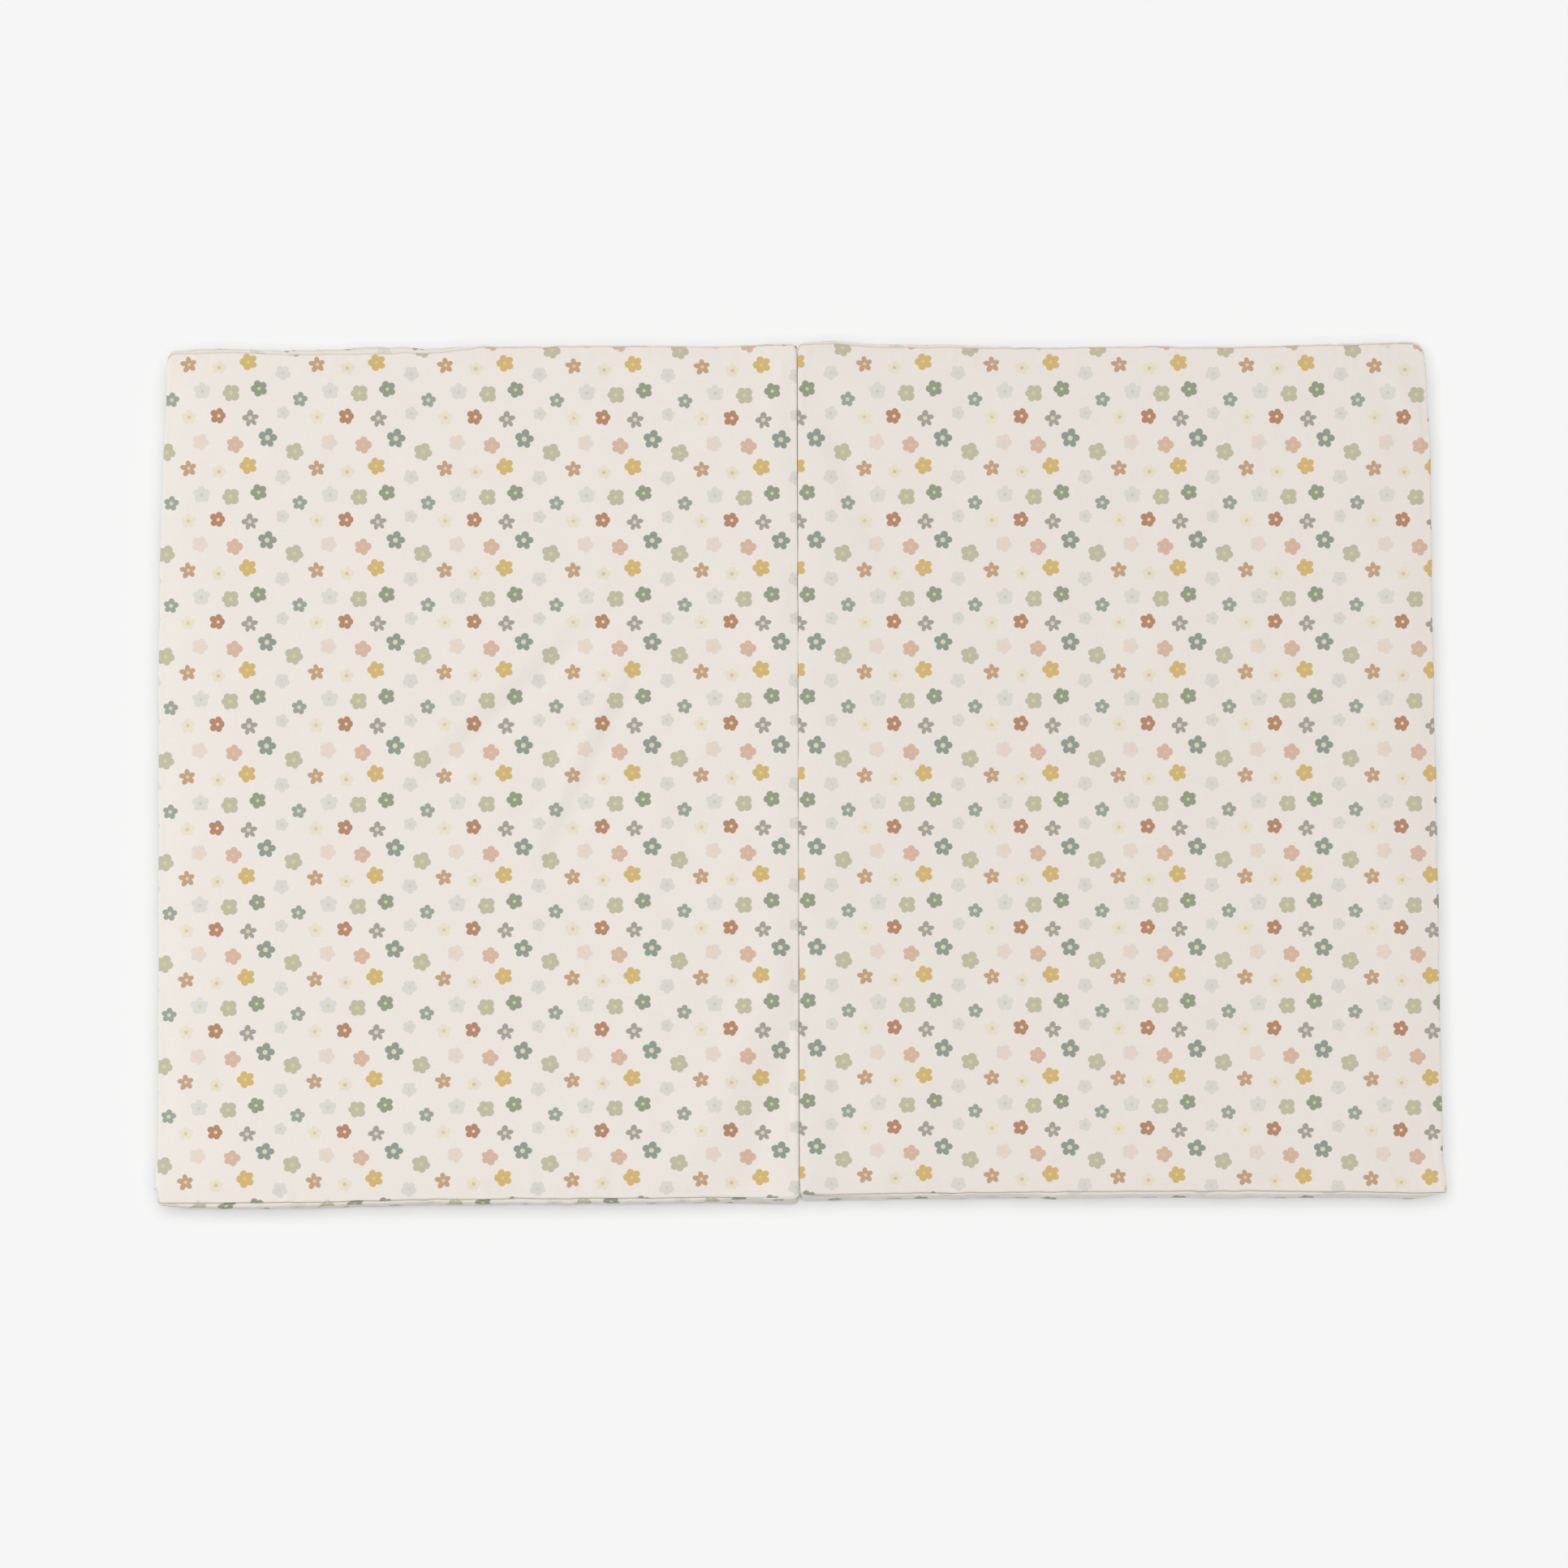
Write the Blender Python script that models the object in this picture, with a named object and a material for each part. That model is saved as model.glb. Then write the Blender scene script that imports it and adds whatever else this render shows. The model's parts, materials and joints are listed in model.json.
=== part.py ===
"""A baby play mat of two foam panels, covered in printed cotton, that folds in half at its middle.

Metres, +Z up. The mat lies flat on the floor, +X along its length and +Y to its far side, with the
origin under the middle of its bounding box. Each panel is one filled solid: top cloth, slab and
underside. A boxing strip is sewn round it between the top and bottom seams. A narrow web of seam
allowance joins the two covers along the top of the middle gap, and a folded tape hangs at one side.
"""
import math

import bmesh
import bpy
from mathutils import Vector

MM = 0.001

# Driving dimensions, in metres
EDGE_X = (-0.7501, 0.7429)  # the mat's left and right top seams, before their unevenness
EDGE_Y = (-0.5019, 0.5086)  # its near and far top seams
CENTRE_X = (-0.0004, -0.0030)  # the middle of the hinge at the near and far ends
HINGE_GAP = 0.0024  # between the two panels' top seams
SEAM_HEIGHT = 0.038  # the top seam, above the floor
CROWN = 0.0055  # how far the top cloth swells above its seam
CROWN_REACH = 0.060  # the swelling is nearly full this far in from the seam
CORNER_DIP = 0.0045  # the seam sinks this much at each outer corner
CORNER_DIP_REACH = 0.070

# Boxing strip
STRIP_THICK = 0.0015
STRIP_CLEAR = 0.00075  # between the strip and the slab that it wraps
STRIP_END_CLEAR = 0.00065  # between the strip's edges and the seams' lips
SEAM_LIP = 0.0048  # depth of the rolled seam above and below the strip
HINGE_SIDE_BULGE = -0.0009  # walls that face the hinge are pressed flat

# Hinge web, in the gap between the panels
WEB_THICK = 0.0012
WEB_DEPTH = 0.0080
WEB_TOP_DROP = 0.0030  # its top edge lies this far below the seams
WEB_END_INSET = 0.014
WEB_STEPS = 12

WELD = 0.00001  # points of a swept ring that meet are joined within this

# Side label, a tape folded in half that hangs from the left panel's top seam
LABEL_Y = -0.4790
LABEL_WIDTH = 0.0255
LABEL_TAPE = 0.0007
LABEL_LAYER_GAP = 0.0005
LABEL_DROP = 0.0170
LABEL_REACH = 0.0034

# The grid that the top cloth is built on, finer towards the seams
CELLS_ACROSS = 26
CELLS_ALONG = 34
SEAM_CROWDING = 0.80

# How far the top seam lies outside its straight line: (share of the side, millimetres outward).
# Shares run from left to right on the near and far sides, and from near to far on the others.
SEAM_OUT_MM = {
    "left_panel": {
        "near": (
            (0.0, 8.8), (0.14, 8.9), (0.24, 8.2), (0.42, 5.2), (0.60, 3.9), (0.77, 3.4),
            (0.86, 2.3), (1.0, 3.8),
        ),
        "far": (
            (0.0, -9.0), (0.10, -7.6), (0.20, -10.6), (0.40, -7.0), (0.52, 0.0), (0.74, 1.1),
            (0.86, 0.2), (1.0, 2.5),
        ),
        "left": (
            (0.0, 1.3), (0.10, 0.2), (0.35, -0.1), (0.73, -1.5), (0.87, -4.8), (0.94, -8.0),
            (1.0, -8.6),
        ),
        "right": ((0.0, 0.0), (0.55, 0.4), (1.0, 0.0)),
    },
    "right_panel": {
        "near": (
            (0.0, -0.3), (0.20, -2.7), (0.50, -4.6), (0.68, -5.1), (0.84, -4.3), (0.96, -3.4),
            (1.0, -4.0),
        ),
        "far": (
            (0.0, 2.6), (0.05, 4.2), (0.13, 0.2), (0.40, -1.4), (0.54, 0.5), (0.67, -0.8),
            (0.86, 2.5), (0.97, 5.2), (1.0, 4.4),
        ),
        "left": ((0.0, 0.0), (0.55, 0.3), (1.0, 0.0)),
        "right": (
            (0.0, 14.2), (0.05, 9.2), (0.26, 4.9), (0.49, 0.1), (0.72, -4.2), (0.88, -5.6),
            (0.96, -9.9), (1.0, -11.0),
        ),
    },
}
CORNER_RADIUS = {
    "left_panel": {"near_left": 0.003, "near_right": 0.007, "far_left": 0.008, "far_right": 0.005},
    "right_panel": {"near_left": 0.006, "near_right": 0.002, "far_left": 0.005, "far_right": 0.012},
}

# How far the boxing strip stands out from the top seam: (share of the side, millimetres).
BULGE_MM = {
    "left_panel": {
        "near": (
            (0.0, -0.8), (0.06, 1.9), (0.12, 4.2), (0.28, 3.1), (0.58, 4.5), (0.84, 4.3),
            (0.94, 2.6), (1.0, -1.4),
        ),
        "far": (
            (0.0, 1.0), (0.05, 6.5), (0.20, 8.2), (0.38, 7.4), (0.52, 2.8), (0.75, 2.2),
            (1.0, -0.6),
        ),
        "left": ((0.0, 0.2), (0.10, 1.5), (0.40, 2.1), (0.85, 2.0), (0.96, 1.2), (1.0, 0.4)),
    },
    "right_panel": {
        "near": (
            (0.0, 2.4), (0.055, 0.8), (0.18, 2.8), (0.40, 4.2), (0.55, 5.4), (0.78, 3.6),
            (0.94, 1.6), (1.0, -1.4),
        ),
        "far": ((0.0, 0.4), (0.20, 2.0), (0.60, 2.6), (0.85, 2.4), (1.0, 1.0)),
        "right": ((0.0, 0.0), (0.10, 1.9), (0.60, 2.2), (0.90, 1.8), (1.0, 0.8)),
    },
}

# Main creases of the top cloth: start x, y, end x, y, half width and height, all in millimetres.
# A crease above zero is a ridge and one below zero is a trough.
CREASES = {
    "left_panel": (
        (-226, 219, -446, 21, 24, 1.5),
        (-218, 193, -420, 2, 22, -1.7),
        (-206, 131, -305, -71, 22, 1.5),
        (-188, 121, -285, -83, 20, -1.6),
        (-29, -247, -138, -487, 34, 1.4),
        (-10, -332, -62, -498, 30, -2.4),
    ),
    "right_panel": (
        (19, 448, 69, 305, 24, -1.8),
        (690, 488, 738, 398, 22, 1.5),
        (672, 484, 714, 394, 20, -1.3),
        (702, -478, 744, -432, 26, -1.8),
        (62, -120, 152, -60, 24, -0.9),
    ),
}

# The seam's section from the rim of the top cloth down to the floor. Each row is how far out from
# the seam line in millimetres, then the height: from the seam downwards, or from the floor upwards.
UPPER_SECTION = ((-2.6, -0.3), (-0.2, -1.7), (-0.2, -4.6))
LOWER_SECTION = ((-0.6, 4.6), (-0.6, 2.6), (-3.4, 0.7), (-8.0, 0.0))
RIM_INSET = 0.0070
RIM_RISE = 0.0004
RECESS_OUT = -0.0029  # the slab's wall where the strip meets a seam
STRIP_EDGE_OUT = -0.0006
# Share of the wall's height, and share of the bulge reached there
STRIP_OUTER = ((1.0, 0.0), (0.76, 0.66), (0.48, 1.0), (0.22, 0.80), (0.0, 0.0))
MID_WALL_SHARE = 0.48

COLOURS = {
    "printed cotton": ((0.81, 0.77, 0.71), 0.85),
    "white woven tape": ((0.88, 0.87, 0.85), 0.8),
}


def eased(table, share):
    """The value at share in a table of (share, value) rows, eased between its rows."""
    if share <= table[0][0]:
        return table[0][1]
    for (s0, v0), (s1, v1) in zip(table, table[1:]):
        if share <= s1:
            t = (share - s0) / (s1 - s0)
            return v0 + (v1 - v0) * t * t * (3 - 2 * t)
    return table[-1][1]


def crowded(share):
    """Moves evenly spaced shares towards 0 and 1, so that the grid is finer at the seams."""
    return share - SEAM_CROWDING * math.sin(2 * math.pi * share) / (2 * math.pi)


def shares_at(i, j):
    """The two shares of a grid step."""
    return crowded(i / CELLS_ACROSS), crowded(j / CELLS_ALONG)


def stations():
    """The grid steps round a panel's edge, once round."""
    found = [(i, 0) for i in range(CELLS_ACROSS)]
    found += [(CELLS_ACROSS, j) for j in range(CELLS_ALONG)]
    found += [(i, CELLS_ALONG) for i in range(CELLS_ACROSS, 0, -1)]
    found += [(0, j) for j in range(CELLS_ALONG, 0, -1)]
    return found


def corner_inset(distance, radius):
    """How far a rounded corner draws its side in, at a distance from the unrounded corner."""
    if distance >= radius:
        return 0.0
    return radius - math.sqrt(radius * radius - (radius - distance) ** 2)


def centre_line(y):
    """The hinge's middle, which isn't quite square to the mat."""
    share = (y - EDGE_Y[0]) / (EDGE_Y[1] - EDGE_Y[0])
    return CENTRE_X[0] + (CENTRE_X[1] - CENTRE_X[0]) * share


class Panel:
    """The plan and heights of one panel, from which its solid and its boxing strip are built."""

    def __init__(self, name):
        self.name = name
        self.is_left = name == "left_panel"
        self.seams = SEAM_OUT_MM[name]
        self.bulges = BULGE_MM[name]
        self.radius = CORNER_RADIUS[name]
        self.creases = CREASES[name]
        self.mitres = self.outline_mitres()

    def straight_x(self, side, y):
        if side == "left":
            return EDGE_X[0] if self.is_left else centre_line(y) + HINGE_GAP / 2
        return centre_line(y) - HINGE_GAP / 2 if self.is_left else EDGE_X[1]

    def side_point(self, side, share):
        """A point of the top seam, share along one side, from left to right or from near to far."""
        first, last = ("near", "far") if side in ("left", "right") else ("left", "right")
        names = [f"{side}_{end}" if side in ("near", "far") else f"{end}_{side}" for end in (first, last)]
        if side in ("left", "right"):
            low, high = EDGE_Y
            low -= eased(self.seams["near"], 0.0 if side == "left" else 1.0) * MM
            high += eased(self.seams["far"], 0.0 if side == "left" else 1.0) * MM
        else:
            y = EDGE_Y[0] if side == "near" else EDGE_Y[1]
            end = 0.0 if side == "near" else 1.0
            low = self.straight_x("left", y) - eased(self.seams["left"], end) * MM
            high = self.straight_x("right", y) + eased(self.seams["right"], end) * MM
        start, stop = (self.radius[n] * (1 - math.sqrt(0.5)) for n in names)
        along = low + start + (high - low - start - stop) * share
        inset = corner_inset(along - low, self.radius[names[0]])
        inset += corner_inset(high - along, self.radius[names[1]])
        out = eased(self.seams[side], share) * MM - inset
        if side in ("left", "right"):
            sign = -1 if side == "left" else 1
            return Vector((self.straight_x(side, along) + sign * out, along))
        sign = -1 if side == "near" else 1
        return Vector((along, (EDGE_Y[0] if side == "near" else EDGE_Y[1]) + sign * out))

    def plan(self, across, along):
        """The point of the plan at two shares: a patch blended from its four sides."""
        near, far = self.side_point("near", across), self.side_point("far", across)
        left, right = self.side_point("left", along), self.side_point("right", along)
        corners = [[self.side_point(side, share) for share in (0.0, 1.0)] for side in ("near", "far")]
        ruled = near * (1 - along) + far * along + left * (1 - across) + right * across
        bilinear = (corners[0][0] * (1 - across) + corners[0][1] * across) * (1 - along)
        bilinear += (corners[1][0] * (1 - across) + corners[1][1] * across) * along
        return ruled - bilinear

    def outline_mitres(self):
        """For each station on the edge, the step outward that moves its two neighbouring sides by one."""
        steps = stations()
        outline = [self.plan(*shares_at(*step)) for step in steps]
        mitres = {}
        for k, step in enumerate(steps):
            before = (outline[k] - outline[k - 1]).normalized()
            after = (outline[(k + 1) % len(outline)] - outline[k]).normalized()
            out_before, out_after = Vector((before.y, -before.x)), Vector((after.y, -after.x))
            mitres[step] = (out_before + out_after) / (1 + out_before.dot(out_after))
        return mitres

    def bulge(self, across, along):
        """How far the boxing strip stands out of the seam line at a station."""
        found = []
        for side, at_side, share in (
            ("near", along == 0.0, across),
            ("far", along == 1.0, across),
            ("left", across == 0.0, along),
            ("right", across == 1.0, along),
        ):
            if at_side:
                table = self.bulges.get(side)
                found.append(eased(table, share) * MM if table else HINGE_SIDE_BULGE)
        return sum(found) / len(found)

    def seam_height(self, across, along):
        """The top seam's height, lower at the outer corners."""
        outer = 0.0 if self.is_left else 1.0
        point = self.plan(across, along)
        height = SEAM_HEIGHT
        for end in (0.0, 1.0):
            away = (point - self.plan(outer, end)).length
            height -= CORNER_DIP * math.exp(-((away / CORNER_DIP_REACH) ** 2))
        return height

    def crease_rise(self, x, y):
        """What the main creases add to the top cloth."""
        rise = 0.0
        for x0, y0, x1, y1, half_width, height in self.creases:
            start, end = Vector((x0, y0)) * MM, Vector((x1, y1)) * MM
            run = end - start
            share = (Vector((x, y)) - start).dot(run) / run.length_squared
            away = (Vector((x, y)) - start - run * min(1.0, max(0.0, share))).length
            fade = math.sin(math.pi * min(1.0, max(0.0, share * 0.8 + 0.1)))
            rise += height * MM * fade * math.exp(-((away / (half_width * MM)) ** 2) * 2)
        return rise

    def top_point(self, across, along):
        """A point of the top cloth, inside the rim."""
        plan = self.plan(across, along)
        middle = self.plan(0.5, 0.5)
        width = (self.plan(1.0, 0.5) - self.plan(0.0, 0.5)).length
        length = (self.plan(0.5, 1.0) - self.plan(0.5, 0.0)).length
        plan = Vector(
            (
                middle.x + (plan.x - middle.x) * (1 - 2 * RIM_INSET / width),
                middle.y + (plan.y - middle.y) * (1 - 2 * RIM_INSET / length),
            )
        )
        inside = min(across, 1 - across) * width, min(along, 1 - along) * length
        swell = 1.0
        for distance in inside:
            swell *= 1 - math.exp(-2.2 * distance / CROWN_REACH)
        height = self.seam_height(across, along) + RIM_RISE + CROWN * swell
        height += self.crease_rise(plan.x, plan.y) * min(1.0, 8 * swell)
        return Vector((plan.x, plan.y, height))

    def edge_point(self, step, out, height):
        plan = self.plan(*shares_at(*step)) + self.mitres[step] * out
        return Vector((plan.x, plan.y, height))

    def wall_height(self, across, along, share):
        """The height at a share of the wall between the two seams' lips."""
        low = SEAM_LIP
        high = self.seam_height(across, along) - SEAM_LIP
        return low + (high - low) * share


def section_of_slab(panel, step):
    """The slab's rings outside its top cloth, from the seam down to the floor, at one station."""
    shares = shares_at(*step)
    top = panel.seam_height(*shares)
    rows = [(out * MM, top + down * MM) for out, down in UPPER_SECTION]
    rows.append((RECESS_OUT, top - SEAM_LIP - 0.3 * MM))
    wall = panel.bulge(*shares) - STRIP_THICK - STRIP_CLEAR
    rows.append((wall, panel.wall_height(*shares, MID_WALL_SHARE)))
    rows.append((RECESS_OUT, SEAM_LIP + 0.3 * MM))
    rows += [(out * MM, up * MM) for out, up in LOWER_SECTION]
    return [panel.edge_point(step, out, height) for out, height in rows]


def section_of_strip(panel, step):
    """The boxing strip's closed section at one station: down its outer face, then up its inner one."""
    shares = shares_at(*step)
    bulge = panel.bulge(*shares)
    low = SEAM_LIP + STRIP_END_CLEAR
    high = panel.seam_height(*shares) - SEAM_LIP - STRIP_END_CLEAR
    rows = []
    for share, reached in STRIP_OUTER:
        rows.append((STRIP_EDGE_OUT + (bulge - STRIP_EDGE_OUT) * reached, low + (high - low) * share))
    inner_edge = RECESS_OUT + STRIP_CLEAR
    wall = bulge - STRIP_THICK
    rows.append((inner_edge, low))
    rows.append((wall, panel.wall_height(*shares, MID_WALL_SHARE)))
    rows.append((inner_edge, high))
    return [panel.edge_point(step, out, height) for out, height in rows]


def clear_scene():
    for obj in list(bpy.data.objects):
        bpy.data.objects.remove(obj)


def cloth_material(cloth, node_name):
    """The cloth as one node wears it."""
    colour, roughness = COLOURS[cloth]
    material = bpy.data.materials.new(f"{cloth}, {node_name.replace('_', ' ')}")
    material.use_nodes = True
    shader = material.node_tree.nodes["Principled BSDF"]
    shader.inputs["Base Color"].default_value = (*colour, 1.0)
    shader.inputs["Roughness"].default_value = roughness
    shader.inputs["Metallic"].default_value = 0.0
    return material


def add_object(name, bm, cloth):
    bmesh.ops.triangulate(bm, faces=[face for face in bm.faces if len(face.verts) == 4])
    bmesh.ops.recalc_face_normals(bm, faces=bm.faces)
    mesh = bpy.data.meshes.new(name)
    bm.to_mesh(mesh)
    bm.free()
    obj = bpy.data.objects.new(name, mesh)
    bpy.context.scene.collection.objects.link(obj)
    mesh.shade_smooth()
    mesh.set_sharp_from_angle(angle=math.radians(50))
    mesh.materials.append(cloth_material(cloth, name))
    return obj


def filled_panel(name):
    """One filled panel: a gridded top cloth, its edge drawn down ring by ring, and a flat underside."""
    panel = Panel(name)
    bm = bmesh.new()
    bmesh.ops.create_grid(bm, x_segments=CELLS_ACROSS, y_segments=CELLS_ALONG, size=0.5)
    i_of = bm.verts.layers.int.new("across")
    j_of = bm.verts.layers.int.new("along")
    for vert in bm.verts:
        vert[i_of] = round((vert.co.x + 0.5) * CELLS_ACROSS)
        vert[j_of] = round((vert.co.y + 0.5) * CELLS_ALONG)
        vert.co = panel.top_point(*shares_at(vert[i_of], vert[j_of]))
    rim = [edge for edge in bm.edges if edge.is_boundary]
    sections = {step: section_of_slab(panel, step) for step in stations()}
    for ring in range(len(sections[0, 0])):
        made = bmesh.ops.extrude_edge_only(bm, edges=rim)["geom"]
        rim = [item for item in made if isinstance(item, bmesh.types.BMEdge)]
        for vert in (item for item in made if isinstance(item, bmesh.types.BMVert)):
            vert.co = sections[vert[i_of], vert[j_of]][ring]
    bmesh.ops.contextual_create(bm, geom=rim)
    return add_object(name, bm, "printed cotton")


def boxing_strip(name, panel_name):
    """The side strip of one panel: its section swept once round the seam line and joined to itself."""
    panel = Panel(panel_name)
    bm = bmesh.new()
    row_of = bm.verts.layers.int.new("row")
    sections = [section_of_strip(panel, step) for step in stations()]
    ring = [bm.verts.new(point) for point in sections[0]]
    for row, vert in enumerate(ring):
        vert[row_of] = row
    edges = [bm.edges.new((ring[row - 1], ring[row])) for row in range(len(ring))]
    for section in sections[1:] + sections[:1]:
        made = bmesh.ops.extrude_edge_only(bm, edges=edges)["geom"]
        edges = [item for item in made if isinstance(item, bmesh.types.BMEdge)]
        for vert in (item for item in made if isinstance(item, bmesh.types.BMVert)):
            vert.co = section[vert[row_of]]
    bmesh.ops.remove_doubles(bm, verts=bm.verts, dist=WELD)
    return add_object(name, bm, "printed cotton")


def hinge_web(name):
    """The web of seam allowance between the two panels, along the middle."""
    bm = bmesh.new()
    top = SEAM_HEIGHT - WEB_TOP_DROP
    corners = ((-0.5, top), (0.5, top), (0.5, top - WEB_DEPTH), (-0.5, top - WEB_DEPTH))
    y_first = EDGE_Y[0] + WEB_END_INSET
    y_step = (EDGE_Y[1] - EDGE_Y[0] - 2 * WEB_END_INSET) / WEB_STEPS
    ring = [
        bm.verts.new((centre_line(y_first) + side * WEB_THICK, y_first, height)) for side, height in corners
    ]
    rim = [bm.edges.new((ring[i - 1], ring[i])) for i in range(len(ring))]
    bmesh.ops.contextual_create(bm, geom=rim)
    for step in range(WEB_STEPS):
        y = y_first + y_step * (step + 1)
        made = bmesh.ops.extrude_edge_only(bm, edges=rim)["geom"]
        rim = [item for item in made if isinstance(item, bmesh.types.BMEdge)]
        verts = [item for item in made if isinstance(item, bmesh.types.BMVert)]
        bmesh.ops.translate(bm, verts=verts, vec=(centre_line(y) - centre_line(y - y_step), y_step, 0))
    bmesh.ops.contextual_create(bm, geom=rim)
    return add_object(name, bm, "printed cotton")


def folded_label(name):
    """A tape folded in half, both ends at the seam and the fold at its foot, leaning off the side."""
    share = (LABEL_Y - EDGE_Y[0]) / (EDGE_Y[1] - EDGE_Y[0])
    panel = Panel("left_panel")
    seam_x = panel.side_point("left", share).x
    top = panel.seam_height(0.0, share) - SEAM_LIP - 0.3 * MM
    down = Vector((-LABEL_REACH, 0, -LABEL_DROP))
    out = Vector((-LABEL_DROP, 0, LABEL_REACH)).normalized()
    root = Vector((seam_x - 0.0008, LABEL_Y, top))
    total = 2 * LABEL_TAPE + LABEL_LAYER_GAP
    bend = total / 2
    # The section runs down the inner face, round the fold, up the outer face, and back inside.
    outline = [root, root + down]
    for turn in range(1, 4):
        angle = math.pi * turn / 4
        centre = root + down + out * bend
        outline.append(centre - out * bend * math.cos(angle) + down.normalized() * bend * math.sin(angle))
    outline += [root + down + out * total, root + out * total, root + out * (total - LABEL_TAPE)]
    inner_bend = LABEL_LAYER_GAP / 2
    centre = root + down + out * bend
    outline.append(centre + out * inner_bend)
    outline.append(centre + down.normalized() * inner_bend)
    outline.append(centre - out * inner_bend)
    outline.append(root + out * LABEL_TAPE)
    bm = bmesh.new()
    half = Vector((0, LABEL_WIDTH / 2, 0))
    face = bm.faces.new([bm.verts.new(point - half) for point in outline])
    made = bmesh.ops.extrude_face_region(bm, geom=[face], use_keep_orig=True)["geom"]
    verts = [item for item in made if isinstance(item, bmesh.types.BMVert)]
    bmesh.ops.translate(bm, verts=verts, vec=half * 2)
    return add_object(name, bm, "white woven tape")


def main():
    clear_scene()
    filled_panel("left_panel")
    filled_panel("right_panel")
    boxing_strip("left_boxing", "left_panel")
    boxing_strip("right_boxing", "right_panel")
    hinge_web("centre_hinge")
    folded_label("side_label")


main()
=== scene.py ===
import json
import math
from collections import namedtuple

import bpy
import numpy as np
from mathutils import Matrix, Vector

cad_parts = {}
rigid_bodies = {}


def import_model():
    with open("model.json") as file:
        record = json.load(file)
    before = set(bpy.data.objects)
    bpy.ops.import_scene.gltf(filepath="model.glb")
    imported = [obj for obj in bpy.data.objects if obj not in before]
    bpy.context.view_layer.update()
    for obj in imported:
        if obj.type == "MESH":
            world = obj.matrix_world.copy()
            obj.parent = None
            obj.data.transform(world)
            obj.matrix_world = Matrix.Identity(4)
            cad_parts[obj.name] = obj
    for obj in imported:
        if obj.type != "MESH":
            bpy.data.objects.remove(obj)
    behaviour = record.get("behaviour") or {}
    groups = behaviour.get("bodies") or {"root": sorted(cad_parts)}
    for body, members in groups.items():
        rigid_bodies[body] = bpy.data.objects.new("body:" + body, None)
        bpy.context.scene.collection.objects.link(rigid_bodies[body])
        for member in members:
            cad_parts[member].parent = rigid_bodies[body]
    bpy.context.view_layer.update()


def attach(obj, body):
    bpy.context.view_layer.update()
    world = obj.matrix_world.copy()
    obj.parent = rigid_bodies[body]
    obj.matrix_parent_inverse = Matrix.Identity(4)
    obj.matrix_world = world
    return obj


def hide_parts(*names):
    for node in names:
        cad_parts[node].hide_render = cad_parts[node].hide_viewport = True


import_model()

# A baby play mat, two foam panels in printed cotton covers, hinged along the middle.
# The covers are sewn from a top cloth, an underside and a boxing strip, each its own piece here.

MM = 0.001

# Plan and heights of the filled panels, in metres, the same as the solids', which lack the rise
# along the hinge. The crown's sharpness has no unit.
EDGE_X = (-0.7501, 0.7429)
EDGE_Y = (-0.5019, 0.5086)
CENTRE_X = (-0.0004, -0.0030)
HINGE_GAP = 0.0024
SEAM_HEIGHT = 0.038
CROWN = 0.0055
CROWN_REACH = 0.060
CROWN_SHARPNESS = 2.2
CORNER_DIP = 0.0045
CORNER_DIP_REACH = 0.070
SEAM_LIP = 0.0048
HINGE_SIDE_BULGE = -0.0009
HINGE_RISE = 0.0032
HINGE_RISE_REACH = 0.045

# Small unevenness of the cloth, in millimetres, and how far the gathers reach, in metres. A roll
# over the top cloth has its seed step, its height in millimetres and its wavelength in metres.
RIM_RISE_MM = 0.4
SEAM_WANDER_MM = 0.30
HINGE_WANDER_MM = 0.15
GATHER_MM = 0.20
GATHER_REACH = 0.016
ROLLS = ((7, 0.34, 0.115), (8, 0.10, 0.042))
STRIP_DENT_MM = 0.55
STRIP_RIPPLE_MM = 0.22

SIDES = ("near", "right", "far", "left")

# How far the top seam lies outside its straight line: (share of the side, millimetres outward)
SEAM_OUT_MM = {
    "left_panel": {
        "near": (
            (0.0, 8.8), (0.14, 8.9), (0.24, 8.2), (0.42, 5.2), (0.60, 3.9), (0.77, 3.4),
            (0.86, 2.3), (1.0, 3.8),
        ),
        "far": (
            (0.0, -6.8), (0.10, -6.0), (0.20, -8.6), (0.40, -7.0), (0.52, 0.0), (0.74, 1.1),
            (0.86, 0.2), (1.0, 2.5),
        ),
        "left": (
            (0.0, 0.8), (0.10, 0.0), (0.30, 0.0), (0.46, 0.4), (0.60, 0.8), (0.73, -0.4),
            (0.87, -4.0), (0.94, -7.4), (1.0, -8.2),
        ),
        "right": ((0.0, 0.0), (0.55, 0.4), (1.0, 0.0)),
    },
    "right_panel": {
        "near": (
            (0.0, -0.3), (0.20, -2.7), (0.50, -4.6), (0.68, -5.1), (0.84, -4.3), (0.96, -3.4),
            (1.0, -4.0),
        ),
        "far": (
            (0.0, 2.6), (0.05, 4.2), (0.13, 0.2), (0.40, -1.4), (0.54, 0.5), (0.67, -0.8),
            (0.86, 2.5), (0.97, 5.2), (1.0, 4.4),
        ),
        "left": ((0.0, 0.0), (0.55, 0.3), (1.0, 0.0)),
        "right": (
            (0.0, 13.6), (0.05, 8.6), (0.26, 5.2), (0.44, 2.9), (0.58, 0.1), (0.73, -2.4),
            (0.87, -3.3), (0.95, -7.6), (1.0, -10.6),
        ),
    },
}
CORNER_RADIUS = {
    "left_panel": {"near_left": 0.003, "near_right": 0.007, "far_left": 0.008, "far_right": 0.005},
    "right_panel": {"near_left": 0.006, "near_right": 0.002, "far_left": 0.005, "far_right": 0.012},
}

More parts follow.
